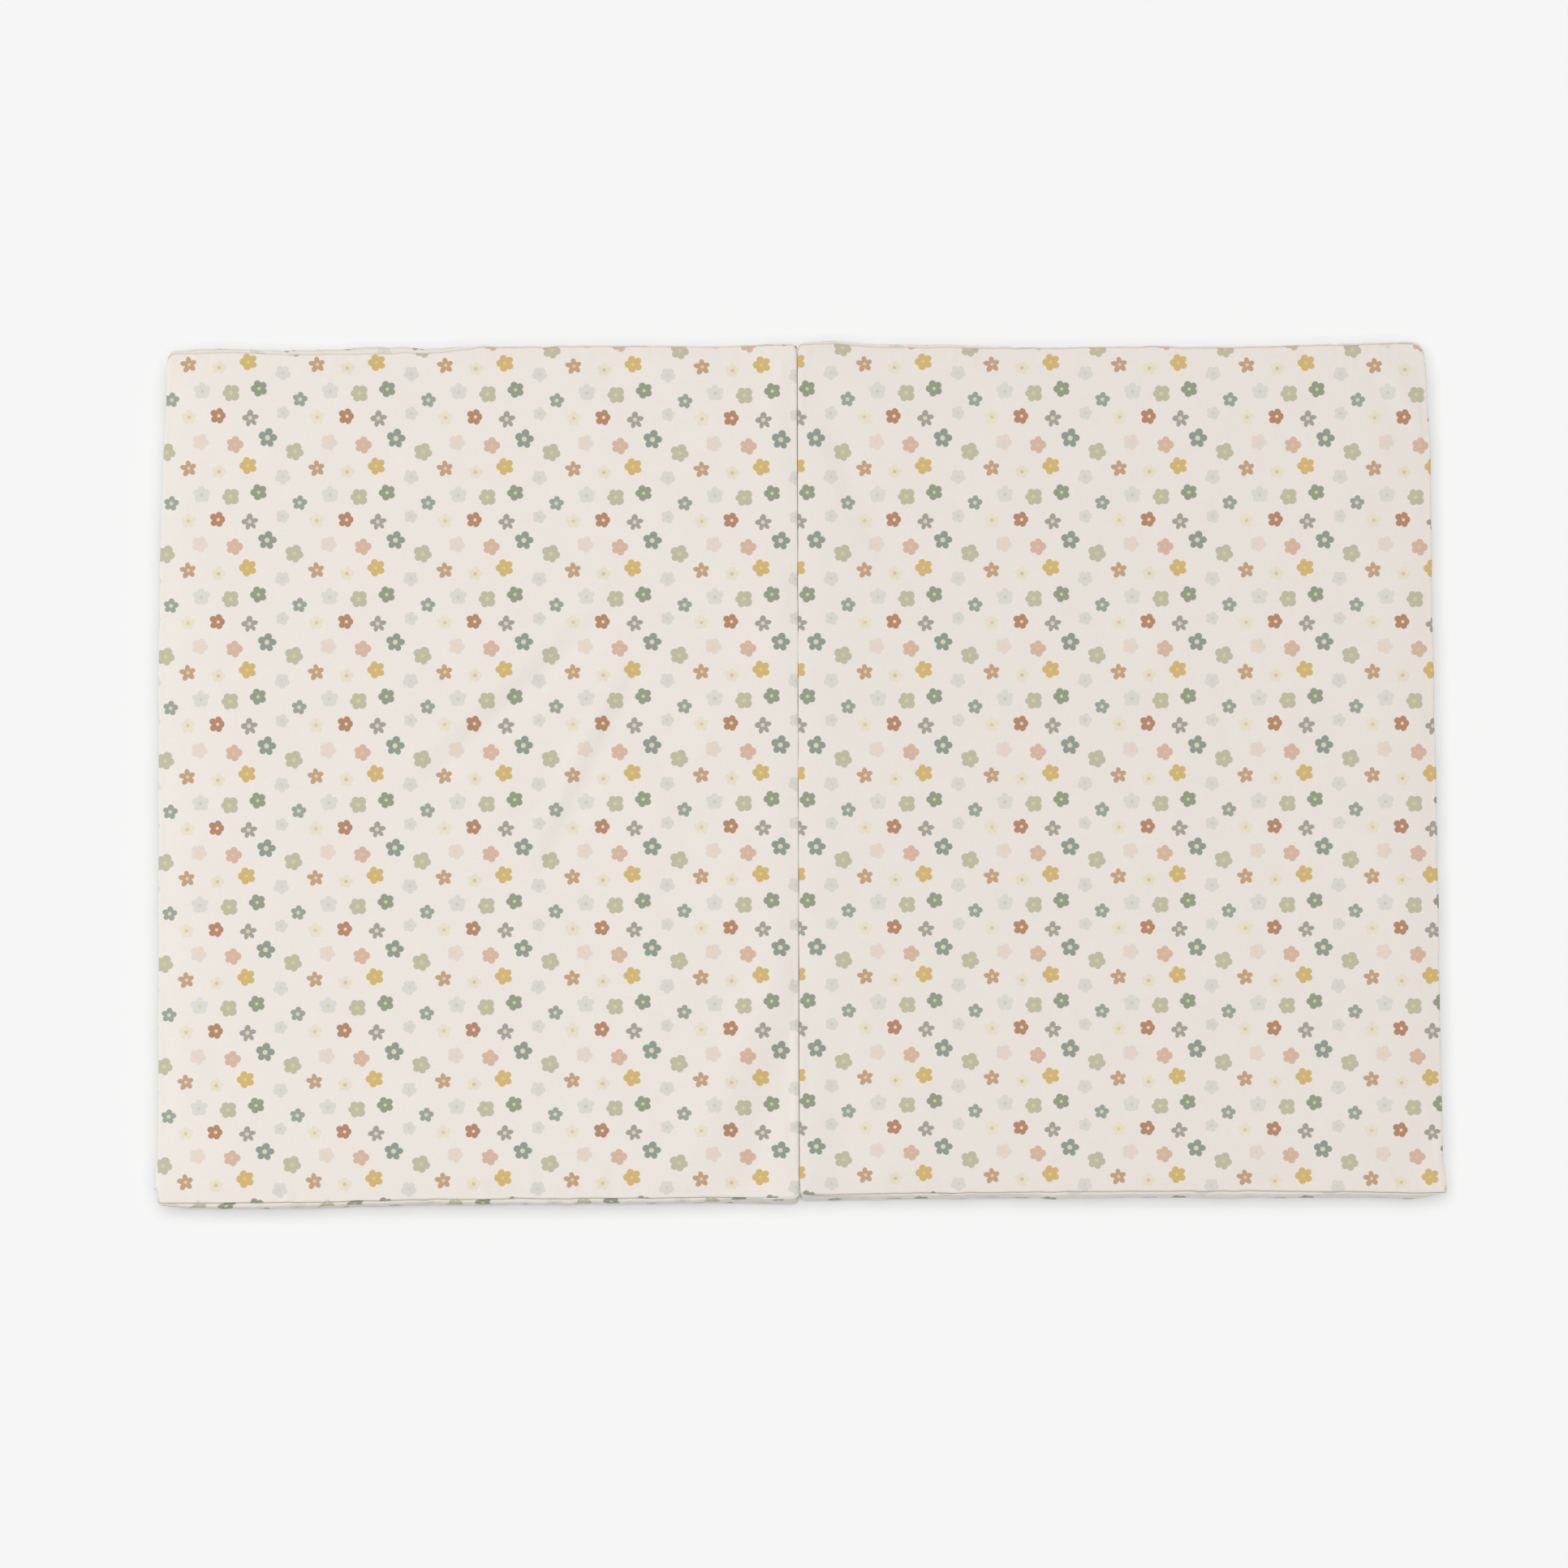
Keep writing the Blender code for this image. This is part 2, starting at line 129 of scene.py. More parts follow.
# How far the boxing strip's shoulder stands out from the top seam: (share of the side, millimetres)
BULGE_MM = {
    "left_panel": {
        "near": (
            (0.0, 2.4), (0.06, 4.2), (0.12, 5.6), (0.16, 5.3), (0.28, 3.3), (0.48, 3.8),
            (0.58, 5.5), (0.72, 4.1), (0.84, 4.0), (0.94, -0.3), (1.0, -3.6),
        ),
        "far": (
            (0.0, 3.4), (0.05, 6.0), (0.12, 5.0), (0.18, 6.0), (0.26, 6.6), (0.345, 9.3),
            (0.43, 6.3), (0.52, 1.5), (0.71, 1.6), (0.87, -0.2), (0.96, 2.4), (1.0, 2.0),
        ),
        "left": ((0.0, 0.0), (0.10, 0.3), (0.40, 0.5), (0.85, 0.4), (1.0, 0.2)),
    },
    "right_panel": {
        "near": (
            (0.0, 0.2), (0.05, -0.4), (0.12, 4.4), (0.19, 5.0), (0.31, 2.4), (0.40, 7.6),
            (0.48, 6.4), (0.62, 7.0), (0.71, 7.5), (0.86, 4.6), (0.94, 4.4), (1.0, 1.6),
        ),
        "far": (
            (0.0, 3.2), (0.09, 4.5), (0.23, 4.3), (0.38, 2.3), (0.52, 0.8), (0.66, 2.6),
            (0.80, 1.1), (0.90, 2.9), (1.0, 2.8),
        ),
        "right": ((0.0, -0.4), (0.15, -0.4), (0.25, 0.2), (0.60, 0.5), (0.90, 0.3), (1.0, 0.2)),
    },
}

# Main creases of the top cloth: start x, y, end x, y, half width and height, all in millimetres.
# A crease above zero is a ridge and one below zero is a trough.
CREASES = {
    "left_panel": (
        (-226, 219, -454, 12, 24, 2.5),
        (-218, 193, -434, -8, 22, -2.8),
        (-206, 131, -316, -100, 22, 2.3),
        (-188, 121, -296, -108, 20, -2.5),
        (-29, -247, -138, -487, 36, 3.2),
        (-10, -312, -62, -498, 34, -5.0),
    ),
    "right_panel": (
        (14, 470, 96, 270, 30, -3.2),
        (690, 488, 738, 398, 22, 1.5),
        (672, 484, 714, 394, 20, -1.3),
        (702, -478, 744, -432, 26, -2.6),
        (30, -300, 56, -500, 42, -3.4),
        (540, -500, 720, -440, 50, -2.6),
        (62, -120, 152, -60, 24, -0.9),
    ),
}

# Small puckers that run in from a seam, in the same columns, two to a line. Each is highest at its
# seam end, which is the one given last.
PUCKERS = {
    "left_panel": (
        (-395, -455, -381, -502, 6, -0.9), (-383, -444, -368, -502, 6, 0.7),
        (-343, -440, -343, -502, 7, 0.5), (-318, -446, -316, -502, 6, 0.8),
        (-302, -428, -300, -502, 6, -1.0), (-256, -452, -238, -502, 8, 0.9),
        (-222, -466, -214, -502, 6, -0.5), (-174, -452, -168, -502, 8, 0.5),
        (-120, -462, -122, -502, 7, -0.5), (-34, -330, -24, -405, 5, 0.5),
        (-14, -376, -11, -444, 5, -0.6), (-36, 380, -22, 486, 8, 0.7),
        (-20, 372, -8, 470, 7, -0.7), (-415, 440, -404, 497, 9, 0.6),
        (-392, 446, -378, 497, 8, -0.6), (-736, 462, -741, 494, 6, 0.6),
        (-690, 470, -694, 494, 7, -0.4),
    ),
    "right_panel": (
        (642, 440, 682, 500, 9, 0.7), (630, 450, 664, 500, 8, -0.6),
        (520, 496, 634, 501, 7, -0.7), (16, -470, 8, -502, 7, 0.7),
        (30, -474, 27, -500, 6, -0.6), (118, -470, 126, -502, 8, 0.4),
        (262, -476, 254, -502, 9, -0.4), (420, -478, 424, -503, 9, 0.4),
        (596, -474, 590, -503, 9, -0.4), (12, 470, 6, 506, 6, 0.6),
    ),
}

# Where the print's rust blooms lie on each top cloth, in millimetres: the first one's place, the
# steps from column to column and from row to row, and how the print has crept out of line since it
# was printed: at a row's place, upward at the cloth's left and at its right, then rightward at both.
PrintPlace = namedtuple("PrintPlace", "first column row creep")
PRINT_PLACE = {
    "left_panel": PrintPlace(
        (-682.0, 422.2), (150.86, 0.35), (-0.37, -121.6),
        (
            (-0.5, 4.5, -1.2, -0.8, -1.1), (0.0, 3.3, -0.9, -0.4, -1.0), (1.0, 0.8, -1.5, -0.4, -0.9),
            (2.0, 0.4, -0.6, 0.0, -0.8), (3.0, 0.0, 0.0, 0.2, -0.5), (4.0, -2.3, -1.3, 0.4, -0.1),
            (5.0, -1.5, -0.2, 0.3, 0.2), (6.0, -0.4, 1.2, 0.3, 0.6), (7.0, 0.8, 2.0, 0.4, 0.9),
            (7.3, 3.0, 3.5, 0.4, 1.0), (7.8, 2.6, 6.7, 0.4, 1.0),
        ),
    ),
    "right_panel": PrintPlace(
        (112.0, 423.3), (148.82, -0.11), (-0.15, -121.2),
        (
            (-0.5, 3.2, 1.9, -1.3, 3.2), (0.0, 1.8, 1.7, -1.2, 3.0), (1.0, -0.6, 0.0, -0.8, 1.8),
            (2.0, -1.1, -0.5, -0.4, 0.8), (3.0, -1.4, -0.4, -0.2, 0.2), (4.0, -3.2, -2.0, 0.0, -0.3),
            (5.0, -1.4, -1.4, 0.4, -0.8), (6.0, 0.9, 0.0, 0.8, -1.4), (7.0, 3.4, 0.7, 0.5, -1.8),
            (7.3, 5.9, 2.4, 0.7, -2.0), (7.8, 8.7, 5.0, 0.7, -2.0),
        ),
    ),
}
# The print slips a little in every third row: share of the three rows, millimetres upward
PRINT_SLIP = ((0.0, 0.0), (0.22, -1.6), (0.5, -1.1), (0.85, 0.0), (3.0, 0.0))
REPEAT = (150.0, 121.5)
PRINT_COLUMNS = 4
COLUMN_PITCH = REPEAT[0] / PRINT_COLUMNS
ROW_PITCH = REPEAT[1] / 2

# The printed repeat, an ordinary scatter of five-petalled blooms, charted in millimetres and
# degrees from the rust bloom's eye: place, reach of the petals and of the notches between them, how
# slim the petals are, eye, turn of the first petal, then how far the petals swing from even spacing
# and lean longer, and which way.
PETALS = 5
Bloom = namedtuple("Bloom", "x y tip notch slim eye turn swing swing_to lean lean_to petals centre")
RUST = Bloom(0.0, 0.0, 9.3, 6.3, 0.7, 1.9, 3, 3, 34, 0.15, 171, "#b7896d", "#f3d2aa")
GREY = Bloom(36.5, -2.2, 9.8, 4.8, 1.1, 2.4, 25, 15, 123, 0.06, 328, "#a9a199", "#dad1b7")
PALE_SMALL = Bloom(75.1, 3.9, 8.0, 5.6, 0.7, 1.7, 4, 2, 257, 0.0, 0, "#dbd8d0", "#d2d0bd")
CREAM_HIGH = Bloom(115.0, -1.1, 8.8, 5.5, 0.8, 2.1, 20, 0, 0, 0.0, 0, "#ebe1cb", "#dacca5")
CREAM_LOW = Bloom(0.4, -64.2, 8.5, 5.5, 0.8, 2.2, 10, 4, 60, 0.0, 0, "#eae0ca", "#d6c59f")
MUSTARD = Bloom(34.1, -57.3, 10.5, 6.8, 0.7, 1.9, 38, 6, 200, 0.07, 14, "#d5b775", "#e3c886")
PALE_LOW = Bloom(75.0, -70.3, 9.1, 6.4, 0.7, 1.7, 55, 3, 181, 0.0, 0, "#dbd8d1", "#d4d0b9")
CARAMEL = Bloom(115.2, -60.0, 9.8, 5.0, 1.1, 2.0, 25, 1, 290, 0.08, 210, "#c3a283", "#e8c9a0")
SALMON = Bloom(19.0, -32.3, 10.0, 6.8, 0.7, 1.9, 4, 10, 5, 0.0, 0, "#d8b7a2", "#e2c0a4")
TEAL = Bloom(57.1, -24.3, 11.1, 6.3, 0.7, 2.9, 9, 8, 113, 0.02, 328, "#919d90", "#dfd3b1")
OLIVE = Bloom(89.1, -40.4, 10.9, 7.6, 0.7, 2.4, 69, 11, 81, 0.04, 141, "#c2bda3", "#d2c9a4")
BLUSH = Bloom(128.7, -29.1, 9.8, 6.8, 0.7, 2.0, 68, 5, 118, 0.0, 0, "#e7d7cc", "#ecd3bb")
SAGE = Bloom(14.2, -94.4, 10.6, 7.5, 0.7, 2.3, 38, 13, 3, 0.06, 356, "#c1bea2", "#d7cca9")
GREEN = Bloom(47.0, -89.1, 9.9, 6.8, 0.7, 1.9, 39, 2, 201, 0.03, 39, "#979e86", "#cfcfa9")
SLATE = Bloom(95.0, -101.6, 8.9, 5.5, 0.8, 2.3, 10, 3, 34, 0.0, 0, "#9da599", "#d7d2b2")
PALE_BIG = Bloom(130.4, -92.2, 10.3, 7.0, 0.7, 1.9, 20, 8, 270, 0.07, 92, "#dcdad3", "#d6ccaa")

# The blooms stand in rows of four. Two layers of rows interlock, and a layer's rows never overlap.
PrintLayer = namedtuple("PrintLayer", "base even_phase odd_phase even odd")
PRINT_LAYERS = (
    PrintLayer(
        0.0, 0.0, 0.0, (RUST, GREY, PALE_SMALL, CREAM_HIGH), (CREAM_LOW, MUSTARD, PALE_LOW, CARAMEL)
    ),
    PrintLayer(-34.0, 18.75, 15.0, (SALMON, TEAL, OLIVE, BLUSH), (SAGE, GREEN, SLATE, PALE_BIG)),
)

# Cloth colours in sRGB, textures in millimetres but for the tape's ribs, which are in metres, and
# tones as shares of full brightness
# The printed cloth's ground is a shade lighter on the left cover than on the right: painted light,
# because both covers are the same cloth.
PRINT_GROUND_WITH_PAINTED_LIGHT = {"left": "#eee7df", "right": "#ece5dd"}
STRIP_GROUND = "#e9e3da"
PLAIN_GROUND = "#ebe7e0"
INK_BLEED = 0.7
THREAD_PITCH = 1.1
WEAVE_PITCH = 1.2
WEAVE_HEIGHT = 0.015
SLUB_HEIGHT = 0.05
SLUB_LENGTHS = (22, 16)
SLUB_TONE = 0.055
DYE_PATCH = 75
DYE_TONE = 0.035
DARKEST_TONE = 0.9285
CRUMPLE_MM = ((24.0, 0.30), (7.0, 0.06))
RIB_PITCH = 0.0008

# The boxing strips are cut from the same cloth, side by side: where along the side a rust bloom's
# column lies, how high up the repeat the top seam cuts, and +1 where the cloth's top is up.
BOXING_CUT = {
    "left_panel": {
        "near": (-718.1, -84.9, 1), "far": (-563.4, -72.5, -1),
        "left": (40.0, -58.0, 1), "right": (10.0, -20.0, 1),
    },
    "right_panel": {
        "near": (95.8, -72.6, 1), "far": (38.0, -73.0, -1),
        "left": (25.0, -40.0, 1), "right": (-30.0, -66.0, 1),
    },
}

# Grids
CELLS_ACROSS = 256
CELLS_ALONG = 340
UNDER_CELLS = (110, 150)
SEAM_CROWDING = 0.40
STRIP_STEPS_ACROSS = 330
STRIP_STEPS_ALONG = 440

# Sections, in millimetres: out from the seam line, then up or down from the seam or the floor
TOP_RIM = -5.0
TOP_SECTION = (
    (-3.4, 0.25), (-2.0, -0.05), (-1.1, -0.5), (-0.55, -1.15), (-0.6, -1.9), (-1.5, -2.5), (-3.2, -2.8),
)
UNDER_RIM = -12.0
UNDER_SECTION = (
    (-7.0, 0.0), (-3.4, 0.12), (-1.9, 0.5), (-0.9, 1.2), (-0.5, 2.1), (-1.4, 2.9), (-3.0, 3.1),
)
# The strip rolls over a shoulder close under the seam and leans in again below it. Its rows also
# take a share of the shoulder's reach, given for most sides and for the near right side, which is
# steeper. The wall's rows lie at a share of its height. Except on the steep side, the rows under
# the seam stand higher by CREST_RISE, which closes the groove there.
STRIP_TOP = (
    (-2.6, -4.8, 0.0, 0.0), (-1.0, -4.2, 0.0, 0.0), (0.0, -3.5, 0.04, 0.0), (0.4, -2.9, 0.14, 0.08),
    (0.6, -2.75, 0.32, 0.18), (0.45, -3.2, 0.55, 0.30), (0.15, -4.3, 0.78, 0.44),
)
STRIP_WALL = (
    (0.95, 0.93, 0.55), (0.86, 1.0, 0.67), (0.72, 0.90, 0.73), (0.56, 0.76, 0.72),
    (0.38, 0.60, 0.64), (0.22, 0.46, 0.52), (0.12, 0.36, 0.40),
)
STRIP_BOTTOM = ((0.5, 6.8), (0.9, 5.2), (0.9, 4.2), (0.2, 3.3), (-0.9, 3.7), (-2.6, 4.5))
CREST_RISE = 0.5
HINGE_STRIP_IN = -1.0
HINGE_TOP_OUT = 1.25
OUTER_TOP_OUT = 2.1
OUTER_ROLL = ((0, 0.8), (2, 1.0), (4, 1.0), (6, 0.6))

# How many stations the steep side eases in over, then the strips' other sizes, in metres
STEEP_EASE = 25
CORNER_TUCK = 0.005
CORNER_TUCK_REACH = 0.022
SIDE_EASE = 0.015
STRIP_CLOTH = 0.0010

# Side label, a tape folded in half. Its path runs out of the seam, over the strip's edge, down to
# the fold and back: millimetres out from the seam line, and up or down from the seam.
LABEL_Y = -0.4790
LABEL_WIDTH = 0.0255
LABEL_TAPE = 0.0005
LABEL_CURL = 0.0006
LABEL_PATH_MM = (
    (0.0, -2.9), (0.9, -2.7), (1.6, -3.5), (2.0, -5.2), (2.9, -10.5), (3.8, -16.2), (4.2, -19.4),
    (4.5, -20.3), (5.0, -20.6), (5.4, -20.2), (5.5, -19.2), (5.0, -14.5), (4.1, -9.0), (3.1, -4.4),
    (2.2, -2.4), (1.2, -1.8), (0.1, -2.1),
)

# Studio, in metres, degrees and the lamps' own units
FLOOR_SIZE = 80
FLOOR_ALBEDO = 0.27
FLOOR_GLOW = 0.670
# How far out and how deeply ambient occlusion dims the floor's glow near the mat: painted contact
# shadows.
FLOOR_PAINTED_SHADOWS = ((0.022, 0.42), (0.004, 0.60))
AROUND_LIGHT = 0.42
KEY_LIGHT = 1.58
KEY_SPREAD_DEG = 42
KEY_FROM = (-0.096, 0.052, 1.0)
FILL_LIGHT = 72
FILL_COLOUR = (0.90, 1.0, 0.97)
FILL_RADIUS = 0.3
FILL_AT = (-3.6, -0.4, 1.5)
CAMERA_ELEVATION = 80
SENSOR_MM = 36
LENS_MM = 1000
VIEW_WIDTH = 1.8393
VIEW_CENTRE = (-0.0185, -0.0135, 0.042)


def linear(hex_colour):
    """An sRGB hex colour as linear RGBA."""
    parts = [int(hex_colour[i : i + 2], 16) / 255 for i in (1, 3, 5)]
    return (*(c / 12.92 if c <= 0.04045 else ((c + 0.055) / 1.055) ** 2.4 for c in parts), 1.0)


def eased(table, share):
    """The values at an array of shares in a table of (share, value) rows, eased between its rows."""
    shares, values = np.array(table, float).T
    share = np.asarray(share, float)
    after = np.clip(np.searchsorted(shares, share), 1, len(shares) - 1)
    t = np.clip((share - shares[after - 1]) / (shares[after] - shares[after - 1]), 0, 1)
    return values[after - 1] + (values[after] - values[after - 1]) * t * t * (3 - 2 * t)


def crowded(share):
    """Moves evenly spaced shares towards 0 and 1, so that the grid is finer at the seams."""
    return share - SEAM_CROWDING * np.sin(2 * np.pi * share) / (2 * np.pi)


def corner_inset(distance, radius):
    inside = np.clip(radius - distance, 0, radius)
    return radius - np.sqrt(radius * radius - inside * inside)


def centre_line(y):
    """The hinge's middle, which isn't quite square to the mat."""
    share = (y - EDGE_Y[0]) / (EDGE_Y[1] - EDGE_Y[0])
    return CENTRE_X[0] + (CENTRE_X[1] - CENTRE_X[0]) * share


def waves_along(distance, seed, shortest, longest, count=14):
    """A wavering line of about unit height, from sine waves between two wavelengths."""
    draw = np.random.default_rng(seed)
    total = np.zeros_like(distance)
    for length in np.geomspace(shortest, longest, count):
        total += np.sin(2 * np.pi * (distance / (length * draw.uniform(0.9, 1.1)) + draw.random()))
    return total / math.sqrt(count / 2)


def waves_over(x, y, seed, wavelength, count=10):
    """A gently rolling surface of about unit height, from waves that cross at all angles."""
    draw = np.random.default_rng(seed)
    total = np.zeros_like(x)
    for _ in range(count):
        angle = draw.uniform(0, 2 * np.pi)
        length = wavelength * draw.uniform(0.7, 1.4)
        place = (x * math.cos(angle) + y * math.sin(angle)) / length
        total += np.sin(2 * np.pi * (place + draw.random()))
    return total / math.sqrt(count / 2)


def line_rise(x, y, rows, seam_end_full):
    """What creases or puckers add to a cloth at x and y."""
    rise = np.zeros_like(x)
    for x0, y0, x1, y1, half_width, height in rows:
        start, run = np.array((x0, y0)) * MM, np.array((x1 - x0, y1 - y0)) * MM
        share = ((x - start[0]) * run[0] + (y - start[1]) * run[1]) / (run @ run)
        held = np.clip(share, 0, 1)
        away = np.hypot(x - start[0] - run[0] * held, y - start[1] - run[1] * held)
        if seam_end_full:
            fade = held * held * (3 - 2 * held)
        else:
            fade = np.sin(np.pi * np.clip(share * 0.8 + 0.1, 0, 1)) ** 0.6
        rise += height * MM * fade * np.exp(-2 * (away / (half_width * MM)) ** 2)
    return rise


class Panel:
    """The plan and heights of one panel, for arrays of shares across and along it."""

    def __init__(self, name):
        self.name = name
        self.is_left = name == "left_panel"
        self.hinge_side = "right" if self.is_left else "left"
        self.seams = SEAM_OUT_MM[name]
        self.bulges = BULGE_MM[name]
        self.radius = CORNER_RADIUS[name]
        self.seed = 11 if self.is_left else 47
        self.corners = {
            (a, b): self.side_point("far" if b else "near", np.array([float(a)]))[0]
            for a in (0, 1) for b in (0, 1)
        }
        marks = np.array(((0.5, 0.5), (0, 0.5), (1, 0.5), (0.5, 0), (0.5, 1)))
        self.middle, left, right, near, far = self.plan(*marks.T)
        self.size = np.array((right[0] - left[0], far[1] - near[1]))

    def straight_x(self, side, y):
        if side == "left":
            return EDGE_X[0] if self.is_left else centre_line(y) + HINGE_GAP / 2
        return centre_line(y) - HINGE_GAP / 2 if self.is_left else EDGE_X[1]

    def wander(self, side, share):
        """The small unevenness of a sewn line, in metres."""
        rise, seed, shortest = SEAM_WANDER_MM, self.seed + SIDES.index(side), 0.035
        if side == self.hinge_side:
            rise, seed, shortest = HINGE_WANDER_MM, self.seed + 5, 0.05
        return rise * MM * waves_along(share, seed, shortest, 0.16) * np.sin(np.pi * share)

    def side_point(self, side, share):
        """Points of the top seam, share along one side, from left to right or from near to far."""
        upright = side in ("left", "right")
        first, last = ("near", "far") if upright else ("left", "right")
        names = [f"{end}_{side}" if upright else f"{side}_{end}" for end in (first, last)]
        if upright:
            end = 0.0 if side == "left" else 1.0
            low = EDGE_Y[0] - eased(self.seams["near"], end) * MM
            high = EDGE_Y[1] + eased(self.seams["far"], end) * MM
        else:
            y = EDGE_Y[0] if side == "near" else EDGE_Y[1]
            end = 0.0 if side == "near" else 1.0
            low = self.straight_x("left", y) - eased(self.seams["left"], end) * MM
            high = self.straight_x("right", y) + eased(self.seams["right"], end) * MM
        start, stop = (self.radius[n] * (1 - math.sqrt(0.5)) for n in names)
        along = low + start + (high - low - start - stop) * share
        inset = corner_inset(along - low, self.radius[names[0]])
        inset = inset + corner_inset(high - along, self.radius[names[1]])
        out = eased(self.seams[side], share) * MM - inset + self.wander(side, share)
        sign = -1 if side in ("left", "near") else 1
        if upright:
            return np.stack((self.straight_x(side, along) + sign * out, along), -1)
        return np.stack((along, (EDGE_Y[0] if side == "near" else EDGE_Y[1]) + sign * out), -1)

    def plan(self, across, along, out=None):
        """Points of the plan: a patch blended from its four sides, moved outward by out metres."""
        a, b = across[..., None], along[..., None]
        sides = {k: self.side_point(k, across if k in ("near", "far") else along) for k in SIDES}
        patch = sides["near"] * (1 - b) + sides["far"] * b + sides["left"] * (1 - a) + sides["right"] * a
        patch -= (self.corners[0, 0] * (1 - a) + self.corners[1, 0] * a) * (1 - b)
        patch -= (self.corners[0, 1] * (1 - a) + self.corners[1, 1] * a) * b
        if out is None:
            return patch
        return self.middle + (patch - self.middle) * (1 + 2 * np.asarray(out)[..., None] / self.size)

    def seam_height(self, point):
        """The top seam's height, higher along the hinge and lower at the outer corners."""
        outer = 0 if self.is_left else 1
        from_hinge = point[..., 0] - centre_line(point[..., 1])
        height = SEAM_HEIGHT + HINGE_RISE * np.exp(-((from_hinge / HINGE_RISE_REACH) ** 2))
        for end in (0, 1):
            away = np.linalg.norm(point - self.corners[outer, end], axis=-1)
            height -= CORNER_DIP * np.exp(-((away / CORNER_DIP_REACH) ** 2))
        return height

    def corner_tuck(self, point):
        """How far the foot is drawn in under the outer corners, in metres."""
        outer = 0 if self.is_left else 1
        away = [np.linalg.norm(point - self.corners[outer, end], axis=-1) for end in (0, 1)]
        return CORNER_TUCK * sum(np.exp(-((a / CORNER_TUCK_REACH) ** 2)) for a in away)

    def end_share(self, right, across, along):
        """How fully a point of the edge belongs to the right or left side, 0 at that side's corners."""
        at_side = across > 1 - 1e-6 if right else across < 1e-6
        t = np.clip(np.minimum(along, 1 - along) * self.size[1] / SIDE_EASE, 0, 1)
        return np.where(at_side, t * t * (3 - 2 * t), 0.0)

    def hinge_share(self, across, along):
        return self.end_share(self.is_left, across, along)

    def gathers(self, across, along):
        """How the cloth ripples beside its seams, where the thread draws it up, in metres."""
        total = np.zeros_like(across)
        for k, side in enumerate(SIDES):
            upright = side in ("left", "right")
            distance = (along if upright else across) * self.size[1 if upright else 0]
            away = {"near": along, "far": 1 - along, "left": across, "right": 1 - across}[side]
            away = away * self.size[0 if upright else 1]
            patchy = 0.55 + 0.45 * waves_along(distance, self.seed + 30 + k, 0.09, 0.4, 6)
            ripple = waves_along(distance + 0.25 * away, self.seed + 20 + k, 0.011, 0.030)
            total += GATHER_MM * MM * np.clip(patchy, 0.1, 1.6) * ripple * np.exp(-away / GATHER_REACH)
        return total

    def top_height(self, across, along, point):
        """The height of the top cloth inside its rim."""
        swell = np.ones_like(across)
        for share, width in ((across, self.size[0]), (along, self.size[1])):
            inside = np.minimum(share, 1 - share)
            swell *= 1 - np.exp(-CROWN_SHARPNESS * inside * width / CROWN_REACH)
        x, y = point[..., 0], point[..., 1]
        height = self.seam_height(point) + RIM_RISE_MM * MM + CROWN * swell
        height += line_rise(x, y, CREASES[self.name], False) * np.minimum(1, 8 * swell)
        height += line_rise(x, y, PUCKERS[self.name], True) * np.minimum(1, 0.4 + 3 * swell)
        for step, rise, length in ROLLS:
            height += rise * MM * waves_over(x, y, self.seed + step, length) * np.minimum(1, 2 * swell)
        return height + self.gathers(across, along)

    def print_at(self, x, y):
        """Where points of the top cloth lie on its printed repeat, in millimetres."""
        place = PRINT_PLACE[self.name]
        steps = np.linalg.inv(np.array((place.column, place.row), float))
        column, row = ((np.stack((x, y), -1) / MM - place.first) @ steps).T
        rows, *creep = np.array(place.creep).T
        side = np.clip(column / PRINT_COLUMNS, 0, 1)
        up, right = (
            np.interp(row, rows, creep[k]) * (1 - side) + np.interp(row, rows, creep[k + 1]) * side
            for k in (0, 2)
        )
        up += np.interp(np.mod(row, 3), *np.array(PRINT_SLIP).T)
        return column * REPEAT[0] - right, -row * REPEAT[1] - up


def add_piece(name, operator, **settings):
    """Adds a primitive or a lamp by its operator, with nothing else selected, and names it."""
    for obj in bpy.context.selected_objects:
        obj.select_set(False)
    operator(**settings)
    obj = bpy.context.object
    obj.name = obj.data.name = name
    return obj


def edit_all(*steps):
    """Selects the whole mesh in edit mode and runs operators on it, each given with its settings."""
    bpy.ops.object.mode_set(mode="EDIT")
    bpy.ops.mesh.select_all(action="SELECT")
    for operator, settings in steps:
        operator(**settings)
    bpy.ops.object.mode_set(mode="OBJECT")


def apply_modifier(obj, name, kind, **settings):
    modifier = obj.modifiers.new(name, kind)
    for setting, value in settings.items():
        setattr(modifier, setting, value)
    bpy.ops.object.modifier_apply(modifier=modifier.name)


def coordinates(mesh):
    co = np.empty(len(mesh.vertices) * 3)
    mesh.vertices.foreach_get("co", co)
    return co.reshape(-1, 3)


def place_points(mesh, co):
    mesh.vertices.foreach_set("co", co.astype(np.float32).ravel())
    mesh.update()


def remember(mesh, name, values):
    """Keeps a number for each point of a mesh, which extruded points copy."""
    attribute = mesh.attributes.get(name) or mesh.attributes.new(name, "FLOAT", "POINT")
    attribute.data.foreach_set("value", values.astype(np.float32))


def remembered(mesh, name):
    values = np.empty(len(mesh.vertices), np.float32)
    mesh.attributes[name].data.foreach_get("value", values)
    return values.astype(float)


def extrude_rim(obj, first):
    """Extrudes the open edge, or on later calls the edges made last, and returns the new points."""
    bpy.ops.object.mode_set(mode="EDIT")
    bpy.ops.mesh.select_mode(type="EDGE")
    if first:
        bpy.ops.mesh.select_all(action="DESELECT")
        bpy.ops.mesh.select_non_manifold(
            extend=False, use_wire=False, use_multi_face=False, use_non_contiguous=False, use_verts=False
        )
    bpy.ops.mesh.extrude_edges_indiv()
    bpy.ops.object.mode_set(mode="OBJECT")
    chosen = np.empty(len(obj.data.vertices), bool)
    obj.data.vertices.foreach_get("select", chosen)
    return chosen


def set_print_map(mesh, u, v):
    """Gives each face corner its place on the printed cloth, in millimetres."""
    layer = mesh.uv_layers.new(name="print")
    layer.data.foreach_set("uv", np.stack((u, v), -1).astype(np.float32).ravel())


def corner_points(mesh):
    index = np.empty(len(mesh.loops), np.int32)
    mesh.loops.foreach_get("vertex_index", index)
    return index


